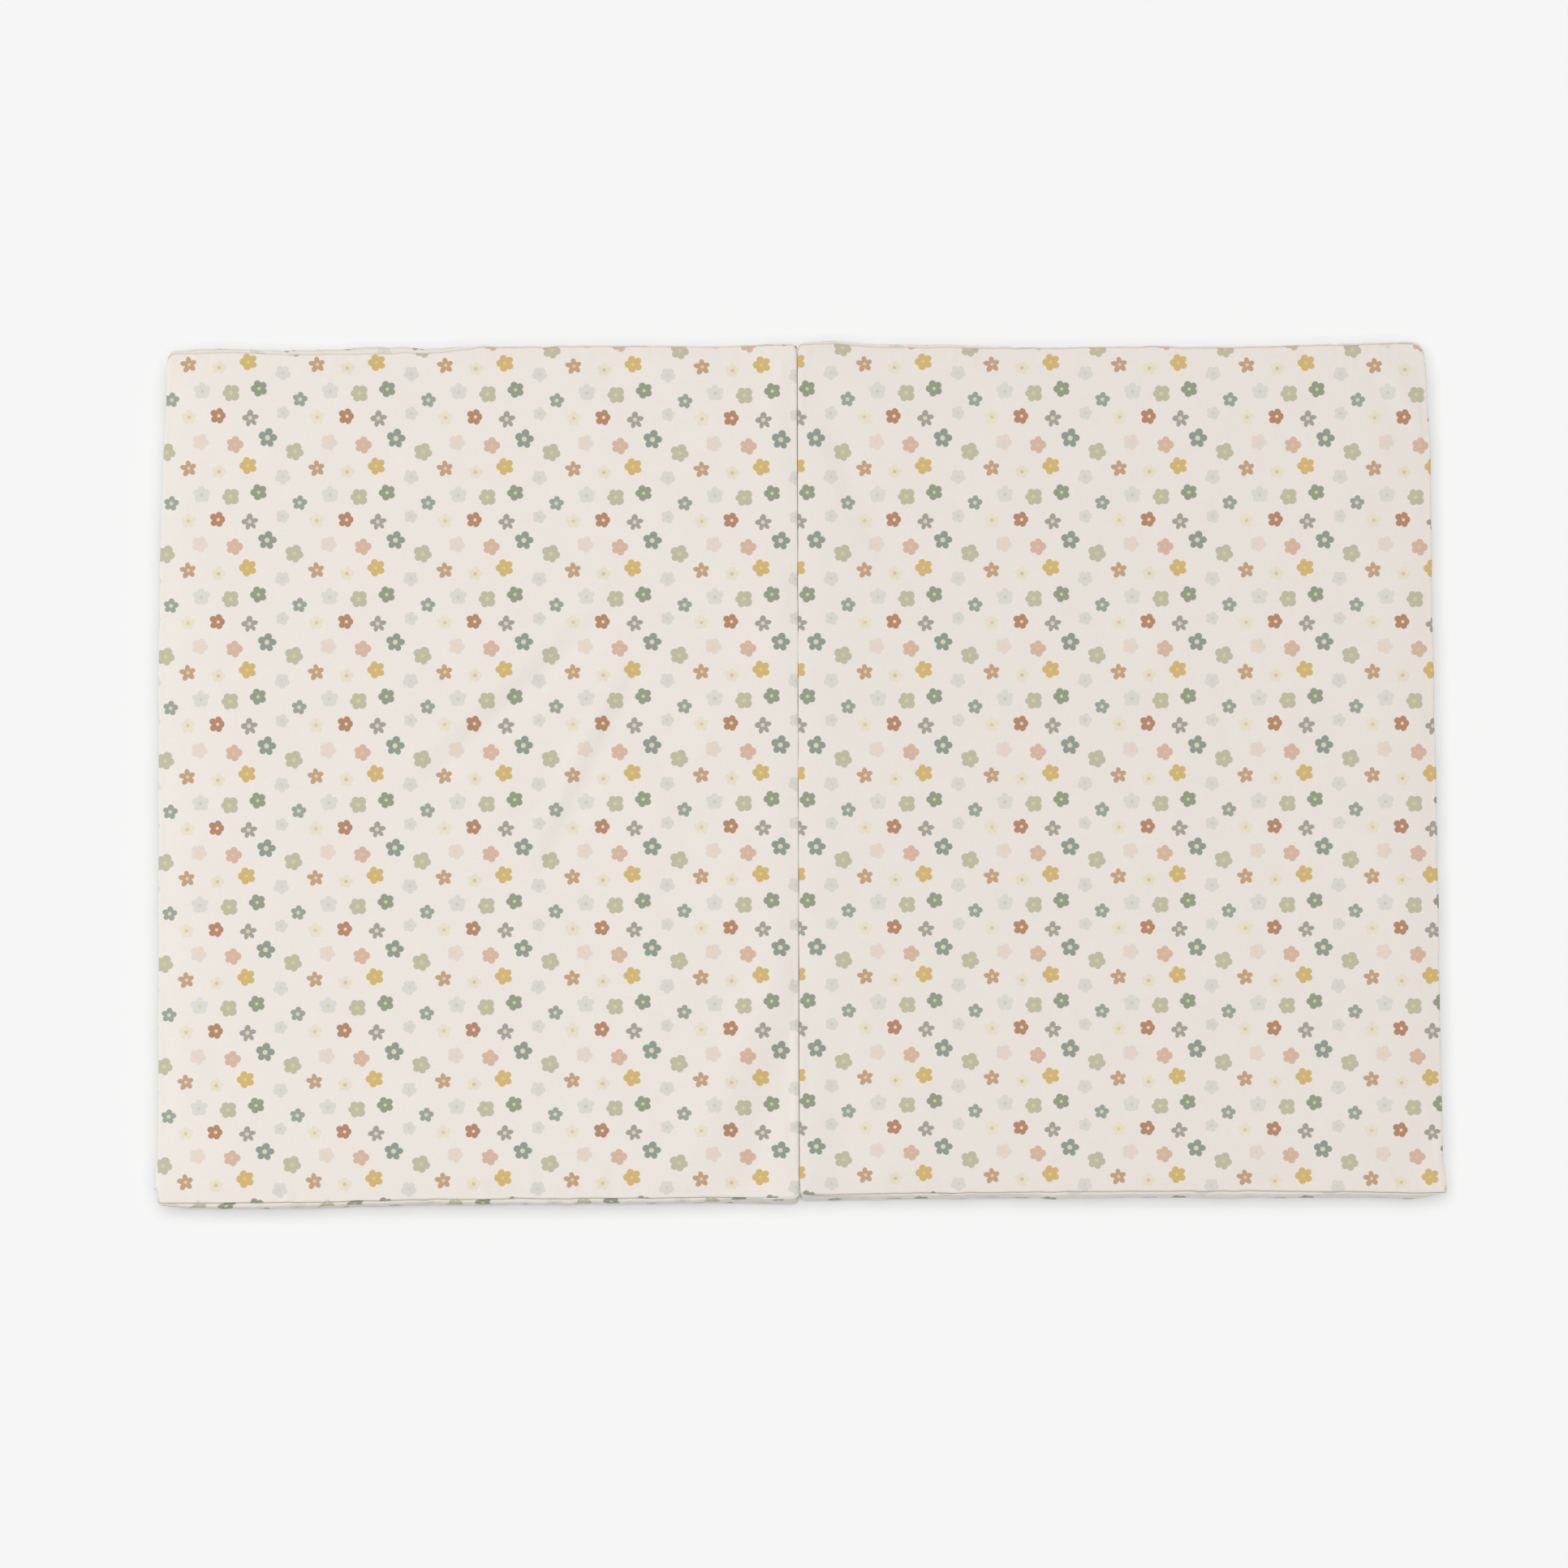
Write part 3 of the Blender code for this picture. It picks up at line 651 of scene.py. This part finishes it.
def turn_faces(obj, up):
    """Turns a cloth's faces to look up where up is 1, down where it is -1, or outwards where it is 0."""
    edit_all((bpy.ops.mesh.normals_make_consistent, {"inside": False}))
    normals, centres = np.empty((2, len(obj.data.polygons) * 3))
    obj.data.polygons.foreach_get("normal", normals)
    obj.data.polygons.foreach_get("center", centres)
    normals, centres = normals.reshape(-1, 3), centres.reshape(-1, 3)
    way = (0, 0, up) if up else (centres - centres.mean(axis=0)) * (1, 1, 0)
    if (normals * way).sum() < 0:
        edit_all((bpy.ops.mesh.flip_normals, {}))


def gridded_cloth(name, cells):
    """A flat grid whose points remember their shares across and along the cloth."""
    obj = add_piece(
        name, bpy.ops.mesh.primitive_grid_add,
        x_subdivisions=cells[0], y_subdivisions=cells[1], size=1, calc_uvs=False,
    )
    co = coordinates(obj.data)
    for axis, label in ((0, "across"), (1, "along")):
        remember(obj.data, label, crowded(np.round((co[:, axis] + 0.5) * cells[axis]) / cells[axis]))
    return obj


def finish_cloth(obj):
    for label in ("across", "along", "row"):
        if label in obj.data.attributes:
            obj.data.attributes.remove(obj.data.attributes[label])
    obj.data.shade_smooth()


def top_cloth(name, panel):
    """The printed top of one panel, crowned and creased, its rim rolled down into the seam."""
    obj = gridded_cloth(name, (CELLS_ACROSS, CELLS_ALONG))
    mesh = obj.data
    across, along = remembered(mesh, "across"), remembered(mesh, "along")
    plan = panel.plan(across, along, np.full_like(across, TOP_RIM * MM))
    place_points(mesh, np.column_stack((plan, panel.top_height(across, along, plan))))
    for ring, (out, rise) in enumerate(TOP_SECTION):
        new = extrude_rim(obj, ring == 0)
        across, along = remembered(mesh, "across")[new], remembered(mesh, "along")[new]
        settle = 1 - (ring + 1) / len(TOP_SECTION)
        out = out + HINGE_TOP_OUT * panel.hinge_share(across, along)
        out += OUTER_TOP_OUT * eased(OUTER_ROLL, ring) * panel.end_share(not panel.is_left, across, along)
        plan = panel.plan(across, along, out * MM)
        height = panel.seam_height(plan) + rise * MM + panel.gathers(across, along) * settle
        height += line_rise(plan[:, 0], plan[:, 1], PUCKERS[panel.name], True) * 0.4 * settle
        co = coordinates(mesh)
        co[new] = np.column_stack((plan, height))
        place_points(mesh, co)
    turn_faces(obj, 1)
    co = coordinates(mesh)
    u, v = panel.print_at(co[:, 0], co[:, 1])
    corners = corner_points(mesh)
    set_print_map(mesh, u[corners], v[corners])
    finish_cloth(obj)
    return obj


def under_cloth(name, panel):
    """The plain underside of one panel, flat on the floor, its rim turned up into the seam."""
    obj = gridded_cloth(name, UNDER_CELLS)
    mesh = obj.data
    across, along = remembered(mesh, "across"), remembered(mesh, "along")
    plan = panel.plan(across, along, np.full_like(across, UNDER_RIM * MM))
    place_points(mesh, np.column_stack((plan, np.zeros(len(plan)))))
    for ring, (out, rise) in enumerate(UNDER_SECTION):
        new = extrude_rim(obj, ring == 0)
        across, along = remembered(mesh, "across")[new], remembered(mesh, "along")[new]
        tuck = panel.corner_tuck(panel.plan(across, along))
        plan = panel.plan(across, along, out * MM - tuck)
        co = coordinates(mesh)
        co[new] = np.column_stack((plan, np.full(len(plan), rise * MM)))
        place_points(mesh, co)
    turn_faces(obj, -1)
    co = coordinates(mesh)
    corners = corner_points(mesh)
    set_print_map(mesh, co[corners, 0] / MM, co[corners, 1] / MM)
    finish_cloth(obj)
    return obj


def strip_stations():
    """The shares of the strip's stations once round the panel, and the side that follows each."""
    across = crowded(np.arange(STRIP_STEPS_ACROSS) / STRIP_STEPS_ACROSS)
    along = crowded(np.arange(STRIP_STEPS_ALONG) / STRIP_STEPS_ALONG)
    zero, one = np.zeros, np.ones
    a = np.concatenate((across, one(len(along)), 1 - across, zero(len(along))))
    b = np.concatenate((zero(len(across)), along, one(len(across)), 1 - along))
    side = np.repeat(np.arange(4), (len(across), len(along)) * 2)
    return a, b, side


def smoothed_ring(values, reach):
    """Evens out a ring of values over a few neighbours on either side."""
    padded = np.concatenate((values[-reach:], values, values[:reach]))
    return np.convolve(padded, np.ones(2 * reach + 1) / (2 * reach + 1), "valid")


def boxing_bulge(panel, across, along, side):
    """How far the strip's wall stands out of the seam line, in metres, at each station."""
    bulge = np.empty_like(across)
    for k, name in enumerate(SIDES):
        here = side == k
        share = across[here] if name in ("near", "far") else along[here]
        table = panel.bulges.get(name)
        bulge[here] = eased(table, share) * MM if table else HINGE_SIDE_BULGE
    return smoothed_ring(bulge, 5)


def boxing_rows(panel, across, along, side):
    """The strip's section at all stations, from its upper edge down: how far out, and how high."""
    seam_line = panel.plan(across, along)
    seam = panel.seam_height(seam_line)
    tuck = panel.corner_tuck(seam_line)
    hinge = panel.hinge_share(across, along)
    bulge = boxing_bulge(panel, across, along, side)
    steps = np.linalg.norm(np.diff(seam_line, axis=0), axis=1)
    distance = np.concatenate(([0.0], np.cumsum(steps)))
    free = 1 - hinge
    dents = STRIP_DENT_MM * MM * waves_along(distance, panel.seed + 60, 0.05, 0.22) * free
    ripple = STRIP_RIPPLE_MM * MM * waves_along(distance, panel.seed + 61, 0.012, 0.034) * free
    low, high = SEAM_LIP, seam - SEAM_LIP
    rows = []
    steep = smoothed_ring(np.where((side == 0) & (not panel.is_left), 1.0, 0.0), STEEP_EASE)
    for k, (out, up, reached, steep_reached) in enumerate(STRIP_TOP):
        reached = reached + (steep_reached - reached) * steep
        out = out * MM + bulge * reached + HINGE_STRIP_IN * MM * hinge
        crest = CREST_RISE * (1 - steep) if k > 1 else 0.0
        rows.append((out + ripple * k / len(STRIP_TOP), seam + (up + crest) * MM))
    for share, reached, steep_reached in STRIP_WALL:
        reached = reached + (steep_reached - reached) * steep
        height = low + (high - low) * share
        out = bulge * reached + dents * math.sin(math.pi * share) + ripple * abs(share - 0.5) * 1.6
        rows.append((out + HINGE_STRIP_IN * MM * 0.3 * hinge - tuck * (1 - share), height))
    for out, up in STRIP_BOTTOM:
        rows.append((out * MM + HINGE_STRIP_IN * MM * hinge - tuck, np.full_like(seam, up * MM)))
    return rows


def boxing_strip(name, panel):
    """The side strip of one panel: a ring of cloth extruded row by row from the top seam down."""
    across, along, side = strip_stations()
    count = len(across)
    rows = boxing_rows(panel, across, along, side)
    obj = add_piece(
        name, bpy.ops.mesh.primitive_circle_add,
        vertices=count, radius=0.5, fill_type="NOTHING", calc_uvs=False,
    )
    mesh = obj.data
    remember(mesh, "row", np.arange(count))
    edit_all()
    points = [np.column_stack((panel.plan(across, along, out), height)) for out, height in rows]
    place_points(mesh, points[0])
    for row in points[1:]:
        new = extrude_rim(obj, False)
        co = coordinates(mesh)
        co[new] = row[np.round(remembered(mesh, "row")[new]).astype(int)]
        place_points(mesh, co)
    u, v = boxing_print(panel, mesh, points, side)
    set_print_map(mesh, u, v)
    finish_cloth(obj)
    turn_faces(obj, 0)
    apply_modifier(obj, "cloth thickness", "SOLIDIFY", thickness=STRIP_CLOTH, offset=-1)
    obj.data.shade_smooth()
    return obj


def boxing_print(panel, mesh, points, side):
    """Where the strip's face corners lie on the printed cloth: along each side, and down its wall."""
    count = len(side)
    corners = corner_points(mesh)
    station = np.round(remembered(mesh, "row")).astype(int)[corners].reshape(-1, 4)
    row = np.array(corners).reshape(-1, 4) // count
    first = station.min(axis=1)
    wraps = station.max(axis=1) - first > 1
    station[wraps] = np.where(station[wraps] == 0, count, station[wraps])
    face_side = side[np.where(wraps, count - 1, first)]
    grid = np.array(points)
    steps = np.linalg.norm(np.diff(grid, axis=0), axis=2)
    down = np.concatenate((np.zeros((1, count)), np.cumsum(steps, axis=0)))
    down = (down - down[2]) / MM
    down = np.column_stack((down, down[:, 0]))
    seam_row = np.vstack((grid[4], grid[4][:1])) / MM
    u, v = np.empty(station.shape), np.empty(station.shape)
    for k, name in enumerate(SIDES):
        here = face_side == k
        start, seam_v, way = BOXING_CUT[panel.name][name]
        position = seam_row[station[here], 0 if name in ("near", "far") else 1]
        turn = -1 if name in ("left", "far") and way > 0 else 1
        u[here] = (position - start) * turn
        v[here] = seam_v - down[row[here], station[here]] * way
    return u.ravel(), v.ravel()


def hinge_strip(name):
    """The seam allowance that joins the covers: a narrow folded band down the middle gap."""
    inset, top, depth, thick, steps = 0.013, SEAM_HEIGHT - 2.9 * MM, 8.2 * MM, 1.2 * MM, 160
    length = EDGE_Y[1] - EDGE_Y[0] - 2 * inset
    obj = add_piece(name, bpy.ops.mesh.primitive_cube_add, size=1)
    bpy.ops.object.mode_set(mode="EDIT")
    bpy.ops.mesh.select_all(action="SELECT")
    bpy.ops.transform.resize(value=(thick, length, depth))
    bpy.ops.transform.translate(value=(0, (EDGE_Y[0] + EDGE_Y[1]) / 2, top - depth / 2))
    for step in range(1, steps):
        bpy.ops.mesh.select_all(action="SELECT")
        y = EDGE_Y[0] + inset + length * step / steps
        bpy.ops.mesh.bisect(plane_co=(0, y, 0), plane_no=(0, 1, 0))
    bpy.ops.object.mode_set(mode="OBJECT")
    co = coordinates(obj.data)
    upper = co[:, 2] > top - depth / 2
    y = co[:, 1]
    co[:, 0] += centre_line(y) + 0.12 * MM * waves_along(y, 91, 0.03, 0.12)
    above, below = 0.25 * MM * waves_along(y, 92, 0.02, 0.1), 0.4 * MM * waves_along(y, 93, 0.03, 0.2)
    co[:, 2] += np.where(upper, above, below)
    place_points(obj.data, co)
    apply_modifier(obj, "rolled edge", "BEVEL", width=0.4 * MM, segments=3, limit_method="ANGLE")
    corners = corner_points(obj.data)
    co = coordinates(obj.data)
    set_print_map(obj.data, co[corners, 1] / MM, co[corners, 2] / MM - 48)
    obj.data.shade_smooth()
    return obj


def side_label(name, panel):
    """A bare white tape, folded in half, its two ends caught in the left side's top seam."""
    cells = (len(LABEL_PATH_MM) - 1, 8)
    obj = add_piece(
        name, bpy.ops.mesh.primitive_grid_add,
        x_subdivisions=cells[0], y_subdivisions=cells[1], size=1, calc_uvs=False,
    )
    co = coordinates(obj.data)
    out, rise = (np.array(LABEL_PATH_MM)[np.round((co[:, 0] + 0.5) * cells[0]).astype(int)] * MM).T
    y = LABEL_Y + co[:, 1] * LABEL_WIDTH
    share = (y - EDGE_Y[0]) / (EDGE_Y[1] - EDGE_Y[0])
    seam = panel.plan(np.zeros_like(share), share)
    curl = LABEL_CURL * (2 * co[:, 1]) ** 2 * np.clip(-rise / (20 * MM), 0, 1)
    place_points(obj.data, np.column_stack((seam[:, 0] - out - curl, y, panel.seam_height(seam) + rise)))
    apply_modifier(obj, "tape thickness", "SOLIDIFY", thickness=LABEL_TAPE, offset=0)
    apply_modifier(obj, "soft bends", "SUBSURF", levels=2, render_levels=2)
    obj.data.shade_smooth()
    return obj


def plug(tree, node, sockets):
    """Gives each socket, by name or number, a value, another socket, or a node's first output."""
    for name, value in sockets.items():
        if isinstance(value, bpy.types.Node):
            value = value.outputs[0]
        if isinstance(value, bpy.types.NodeSocket):
            tree.links.new(value, node.inputs[name])
        else:
            node.inputs[name].default_value = value


def add_node(tree, kind, *inputs, sockets=None, **settings):
    """Adds a shader node of a kind with its settings, its inputs in order or its sockets by name."""
    node = tree.nodes.new("ShaderNode" + kind)
    for name, value in settings.items():
        setattr(node, name, value)
    plug(tree, node, dict(enumerate(inputs)) | (sockets or {}))
    return node


def new_material(name):
    material = bpy.data.materials.new(name)
    material.use_nodes = True
    return material, material.node_tree, material.node_tree.nodes["Principled BSDF"]


def chart_column(tree, which, blooms, fields):
    """Looks up three numbers, or a colour, of the bloom that which points at, an eighth for each."""
    ramp = add_node(tree, "ValToRGB", which)
    ramp.color_ramp.interpolation = "CONSTANT"
    elements = ramp.color_ramp.elements
    elements[1].position = 1 / len(blooms)
    for k in range(2, len(blooms)):
        elements.new(k / len(blooms))
    for element, bloom in zip(elements, blooms):
        if isinstance(fields, str):
            element.color = linear(getattr(bloom, fields))
        else:
            element.color = (*((getattr(bloom, f) - low) / (high - low) for f, low, high in fields), 1.0)
    if isinstance(fields, str):
        return ramp.outputs[0]
    low = tuple(f[1] for f in fields)
    span = tuple(f[2] - f[1] for f in fields)
    numbers = add_node(tree, "VectorMath", ramp, span, low, operation="MULTIPLY_ADD")
    return add_node(tree, "SeparateXYZ", numbers).outputs


def bloom_layer(tree, cloth_place, layer, colour):
    """Paints a layer's two rows of blooms over colour. Each point looks up the one bloom it may be in."""
    blooms = []
    for parity, (phase, row) in enumerate(((layer.even_phase, layer.even), (layer.odd_phase, layer.odd))):
        for k, bloom in enumerate(row):
            centre = phase + k * COLUMN_PITCH, layer.base - parity * ROW_PITCH
            blooms.append(bloom._replace(x=bloom.x - centre[0], y=bloom.y - centre[1]))
    origin = (layer.even_phase, layer.base, 0)
    shifted = add_node(tree, "VectorMath", cloth_place, origin, operation="SUBTRACT")
    split = add_node(tree, "SeparateXYZ", shifted)
    row = add_node(tree, "Math", split.outputs[1], 1 / ROW_PITCH, 0.5, operation="MULTIPLY_ADD")
    row = add_node(tree, "Math", row, operation="FLOOR")
    odd = add_node(tree, "Math", row, 2.0, operation="FLOORED_MODULO")
    shift = layer.even_phase - layer.odd_phase
    x = add_node(tree, "Math", odd, shift, split.outputs[0], operation="MULTIPLY_ADD")
    column = add_node(tree, "Math", x, 1 / COLUMN_PITCH, 0.5, operation="MULTIPLY_ADD")
    column = add_node(tree, "Math", column, operation="FLOOR")
    which = add_node(tree, "Math", column, float(PRINT_COLUMNS), operation="FLOORED_MODULO")
    eighth = 1 / len(blooms)
    which = add_node(tree, "Math", which, eighth, eighth / 2, operation="MULTIPLY_ADD")
    which = add_node(tree, "Math", odd, 0.5, which, operation="MULTIPLY_ADD")

    place = chart_column(tree, which, blooms, (("x", -10, 10), ("y", -15, 15), ("tip", 0, 15)))
    shape = chart_column(tree, which, blooms, (("notch", 0, 15), ("slim", 0, 2), ("eye", 0, 5)))
    turned = chart_column(tree, which, blooms, (("turn", 0, 90), ("swing", 0, 20), ("swing_to", 0, 360)))
    leant = chart_column(tree, which, blooms, (("lean", 0, 0.3), ("lean_to", 0, 360), ("eye", 0, 5)))

    x = add_node(tree, "Math", column, -COLUMN_PITCH, x, operation="MULTIPLY_ADD")
    y = add_node(tree, "Math", row, -ROW_PITCH, split.outputs[1], operation="MULTIPLY_ADD")
    x = add_node(tree, "Math", x, place[0], operation="SUBTRACT")
    y = add_node(tree, "Math", y, place[1], operation="SUBTRACT")
    from_eye = add_node(tree, "CombineXYZ", x, y)
    distance = add_node(tree, "VectorMath", from_eye, operation="LENGTH").outputs["Value"]
    angle = add_node(tree, "Math", y, x, operation="ARCTAN2")
    angle = add_node(tree, "Math", angle, operation="DEGREES")

    swing = add_node(tree, "Math", angle, turned[2], operation="SUBTRACT")
    swing = add_node(tree, "Math", swing, operation="RADIANS")
    swing = add_node(tree, "Math", swing, operation="SINE")
    swing = add_node(tree, "Math", swing, turned[1], turned[0], operation="MULTIPLY_ADD")
    lobe = add_node(tree, "Math", angle, swing, operation="SUBTRACT")
    lobe = add_node(tree, "Math", lobe, math.radians(PETALS / 2), operation="MULTIPLY")
    lobe = add_node(tree, "Math", lobe, operation="COSINE")
    lobe = add_node(tree, "Math", lobe, operation="ABSOLUTE")
    lobe = add_node(tree, "Math", lobe, shape[1], operation="POWER")

    lean = add_node(tree, "Math", angle, leant[1], operation="SUBTRACT")
    lean = add_node(tree, "Math", lean, operation="RADIANS")
    lean = add_node(tree, "Math", lean, operation="COSINE")
    lean = add_node(tree, "Math", lean, leant[0], 1.0, operation="MULTIPLY_ADD")
    reach = add_node(tree, "Math", place[2], lean, operation="MULTIPLY")
    reach = add_node(tree, "Math", reach, shape[0], operation="SUBTRACT")
    edge = add_node(tree, "Math", reach, lobe, shape[0], operation="MULTIPLY_ADD")

    for limit, field in ((edge, "petals"), (shape[2], "centre")):
        inside = add_node(tree, "Math", limit, distance, operation="SUBTRACT")
        cover = add_node(tree, "MapRange", inside, -INK_BLEED / 2, INK_BLEED / 2)
        ink = chart_column(tree, which, blooms, field)
        colour = add_node(tree, "Mix", sockets={0: cover, 6: colour, 7: ink}, data_type="RGBA").outputs[2]
    return colour


def cotton_cover(name, ground_hex, layers):
    """Combed cotton, plain woven and pigment printed: a dry, even cloth with soft ink edges, a barely
    visible thread and a faint bloom of fibre at grazing angles."""
    material, tree, shader = new_material(name)
    cloth_place = add_node(tree, "UVMap", uv_map="print")
    colour = add_node(tree, "RGB").outputs[0]
    colour.default_value = linear(ground_hex)
    for layer in layers:
        colour = bloom_layer(tree, cloth_place, layer, colour)

    # Thick and thin places in the yarn, 15 to 25 mm long, one set along the warp and one along the weft
    slubs = []
    warp, weft = SLUB_LENGTHS
    for stretch in ((1 / warp, 1 / THREAD_PITCH, 0), (1 / THREAD_PITCH, 1 / weft, 0)):
        threads = add_node(tree, "VectorMath", cloth_place, stretch, operation="MULTIPLY")
        yarn = {"Vector": threads, "Scale": 1.0, "Detail": 2.0}
        slubs.append(add_node(tree, "TexNoise", sockets=yarn))
    slub = add_node(tree, "Math", slubs[0], slubs[1], operation="ADD")
    # Uneven dye and handling, over a hand's width
    blotch = {"Vector": cloth_place, "Scale": 1 / DYE_PATCH, "Detail": 3.0, "Roughness": 0.6}
    dye = add_node(tree, "TexNoise", sockets=blotch)
    tone = add_node(tree, "Math", slub, SLUB_TONE, DARKEST_TONE, operation="MULTIPLY_ADD")
    tone = add_node(tree, "Math", dye, DYE_TONE, tone, operation="MULTIPLY_ADD")
    colour = add_node(tree, "VectorMath", sockets={0: colour, "Scale": tone}, operation="SCALE")

    # The weave stands in for threads of 0.35 mm, drawn at 1.2 mm so that it shows up close
    split = add_node(tree, "SeparateXYZ", cloth_place)
    crossings = []
    for axis in (0, 1):
        turns = 2 * math.pi / WEAVE_PITCH
        turn = add_node(tree, "Math", split.outputs[axis], turns, operation="MULTIPLY")
        crossings.append(add_node(tree, "Math", turn, operation="SINE"))
    weave = add_node(tree, "Math", crossings[0], crossings[1], operation="MULTIPLY")
    weave = add_node(tree, "Math", weave, WEAVE_HEIGHT, operation="MULTIPLY")
    height = add_node(tree, "Math", slub, SLUB_HEIGHT, weave, operation="MULTIPLY_ADD")
    for size, rise in CRUMPLE_MM:
        folds = {"Vector": cloth_place, "Scale": 1 / size, "Detail": 2.0}
        crumple = add_node(tree, "TexNoise", sockets=folds)
        height = add_node(tree, "Math", crumple, rise, height, operation="MULTIPLY_ADD")
    bump = add_node(tree, "Bump", sockets={"Height": height, "Distance": MM})
    plug(tree, shader, {"Base Color": colour, "Normal": bump, "Roughness": 0.86})
    plug(tree, shader, {"Specular IOR Level": 0.3, "Sheen Weight": 0.10, "Sheen Roughness": 0.5})
    return material


def woven_tape(name):
    """Bleached polyester tape, woven with fine cross ribs: whiter and a little silkier than cotton."""
    material, tree, shader = new_material(name)
    place = add_node(tree, "TexCoord").outputs["Object"]
    split = add_node(tree, "SeparateXYZ", place)
    turn = add_node(tree, "Math", split.outputs[2], 2 * math.pi / RIB_PITCH, operation="MULTIPLY")
    rib = add_node(tree, "Math", turn, operation="SINE")
    yarn = add_node(tree, "TexNoise", sockets={"Vector": place, "Scale": 900.0, "Detail": 2.0})
    tone = add_node(tree, "Math", rib, 0.015, 0.975, operation="MULTIPLY_ADD")
    tone = add_node(tree, "Math", yarn, 0.03, tone, operation="MULTIPLY_ADD")
    white = add_node(tree, "RGB").outputs[0]
    white.default_value = linear("#f1f0ed")
    colour = add_node(tree, "VectorMath", sockets={0: white, "Scale": tone}, operation="SCALE")
    bump = add_node(tree, "Bump", sockets={"Height": rib, "Distance": 0.00006})
    plug(tree, shader, {"Base Color": colour, "Normal": bump, "Roughness": 0.6, "Sheen Weight": 0.1})
    return material


def studio_paper(name):
    """Matt white paper that glows, with a little real diffuse light on it; its glow is dimmed by ambient
    occlusion near the mat, a painted contact shadow.
    """
    material, tree, shader = new_material(name)
    glow = FLOOR_GLOW
    # Each pass dims the glow where ambient occlusion finds the mat close by: a painted contact shadow.
    for reach, depth in FLOOR_PAINTED_SHADOWS:
        shade = add_node(tree, "AmbientOcclusion", sockets={"Distance": reach}, samples=8)
        glow_kept_under_painted_shadow = add_node(tree, "Math", shade.outputs["AO"], depth, 1 - depth, operation="MULTIPLY_ADD")
        glow = add_node(tree, "Math", glow_kept_under_painted_shadow, glow, operation="MULTIPLY")
    grey, white = (FLOOR_ALBEDO, FLOOR_ALBEDO, FLOOR_ALBEDO, 1.0), (1.0, 1.0, 1.0, 1.0)
    plug(tree, shader, {"Base Color": grey, "Roughness": 1.0, "Specular IOR Level": 0.0})
    plug(tree, shader, {"Emission Color": white, "Emission Strength": glow})
    return material


def wear(obj, material, body, *nodes, slot=None):
    """Dresses a piece in its material and ties it to the CAD body and nodes it stands for."""
    obj.data.materials.clear()
    obj.data.materials.append(material)
    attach(obj, body)
    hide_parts(*nodes)


def build_mat():
    hem_cloth = cotton_cover("plain cotton, unprinted side", PLAIN_GROUND, ())
    for side in ("left", "right"):
        panel = Panel(f"{side}_panel")
        # The left cover's ground is a shade lighter than the right's: painted light on the same cloth.
        print_cloth = cotton_cover(f"printed cotton, {side} cover", PRINT_GROUND_WITH_PAINTED_LIGHT[side], PRINT_LAYERS)
        strip_cloth = cotton_cover(f"printed cotton, {side} boxing", STRIP_GROUND, PRINT_LAYERS)
        top = top_cloth(f"{side}_top_cloth", panel)
        wear(top, print_cloth, "root", f"{side}_panel", slot=f"{side}_cover")
        under = under_cloth(f"{side}_under_cloth", panel)
        wear(under, hem_cloth, "root", f"{side}_panel", slot=f"{side}_cover")
        strip = boxing_strip(f"{side}_side_strip", panel)
        wear(strip, strip_cloth, "root", f"{side}_boxing", slot=f"{side}_boxing_cloth")
        if side == "left":
            label = side_label("folded_label", panel)
            wear(label, woven_tape("woven label tape"), "root", "side_label", slot="label_tape")
    hinge = hinge_strip("hinge_strip")
    wear(hinge, hem_cloth, "root", "centre_hinge", slot="hinge_cloth")


def add_studio():
    """A white paper floor that glows, darkened near the mat by painted contact shadows, under even light,
    with a large soft lamp almost overhead and a low fill at the left that lights only the mat, without a
    shadow, and rakes across its creases."""
    lit = bpy.data.collections.new("lit by the fill")
    for obj in bpy.context.scene.objects:
        if obj.type == "MESH":
            lit.objects.link(obj)
    floor = add_piece("studio_floor", bpy.ops.mesh.primitive_plane_add, size=FLOOR_SIZE)
    floor.data.materials.append(studio_paper("glowing white paper with painted contact shadow"))
    world = bpy.data.worlds.new("even studio light")
    world.use_nodes = True
    background = world.node_tree.nodes["Background"]
    background.inputs["Color"].default_value = (1.0, 1.0, 1.0, 1.0)
    background.inputs["Strength"].default_value = AROUND_LIGHT
    bpy.context.scene.world = world
    key = add_piece("soft key", bpy.ops.object.light_add, type="SUN")
    key.data.energy = KEY_LIGHT
    key.data.angle = math.radians(KEY_SPREAD_DEG)
    key.rotation_mode = "QUATERNION"
    key.rotation_quaternion = Vector(KEY_FROM).to_track_quat("Z", "Y")
    fill = add_piece("left fill", bpy.ops.object.light_add, type="POINT", location=FILL_AT)
    fill.data.energy = FILL_LIGHT
    fill.data.color = FILL_COLOUR
    fill.data.shadow_soft_size = FILL_RADIUS
    fill.data.use_shadow = False
    fill.light_linking.receiver_collection = lit


def add_camera():
    """A long lens far off, 80 degrees above the floor, which keeps the mat's sides parallel."""
    bpy.ops.object.camera_add()
    camera = bpy.context.object
    camera.data.sensor_width = SENSOR_MM
    camera.data.lens = LENS_MM
    distance = VIEW_WIDTH * LENS_MM / SENSOR_MM
    tilt = math.radians(CAMERA_ELEVATION)
    camera.location = Vector(VIEW_CENTRE) + distance * Vector((0, -math.cos(tilt), math.sin(tilt)))
    camera.rotation_euler = (math.pi / 2 - tilt, 0, 0)
    camera.data.clip_end = 200
    bpy.context.scene.camera = camera
    bpy.context.scene.view_settings.view_transform = "Standard"


build_mat()
add_studio()
add_camera()
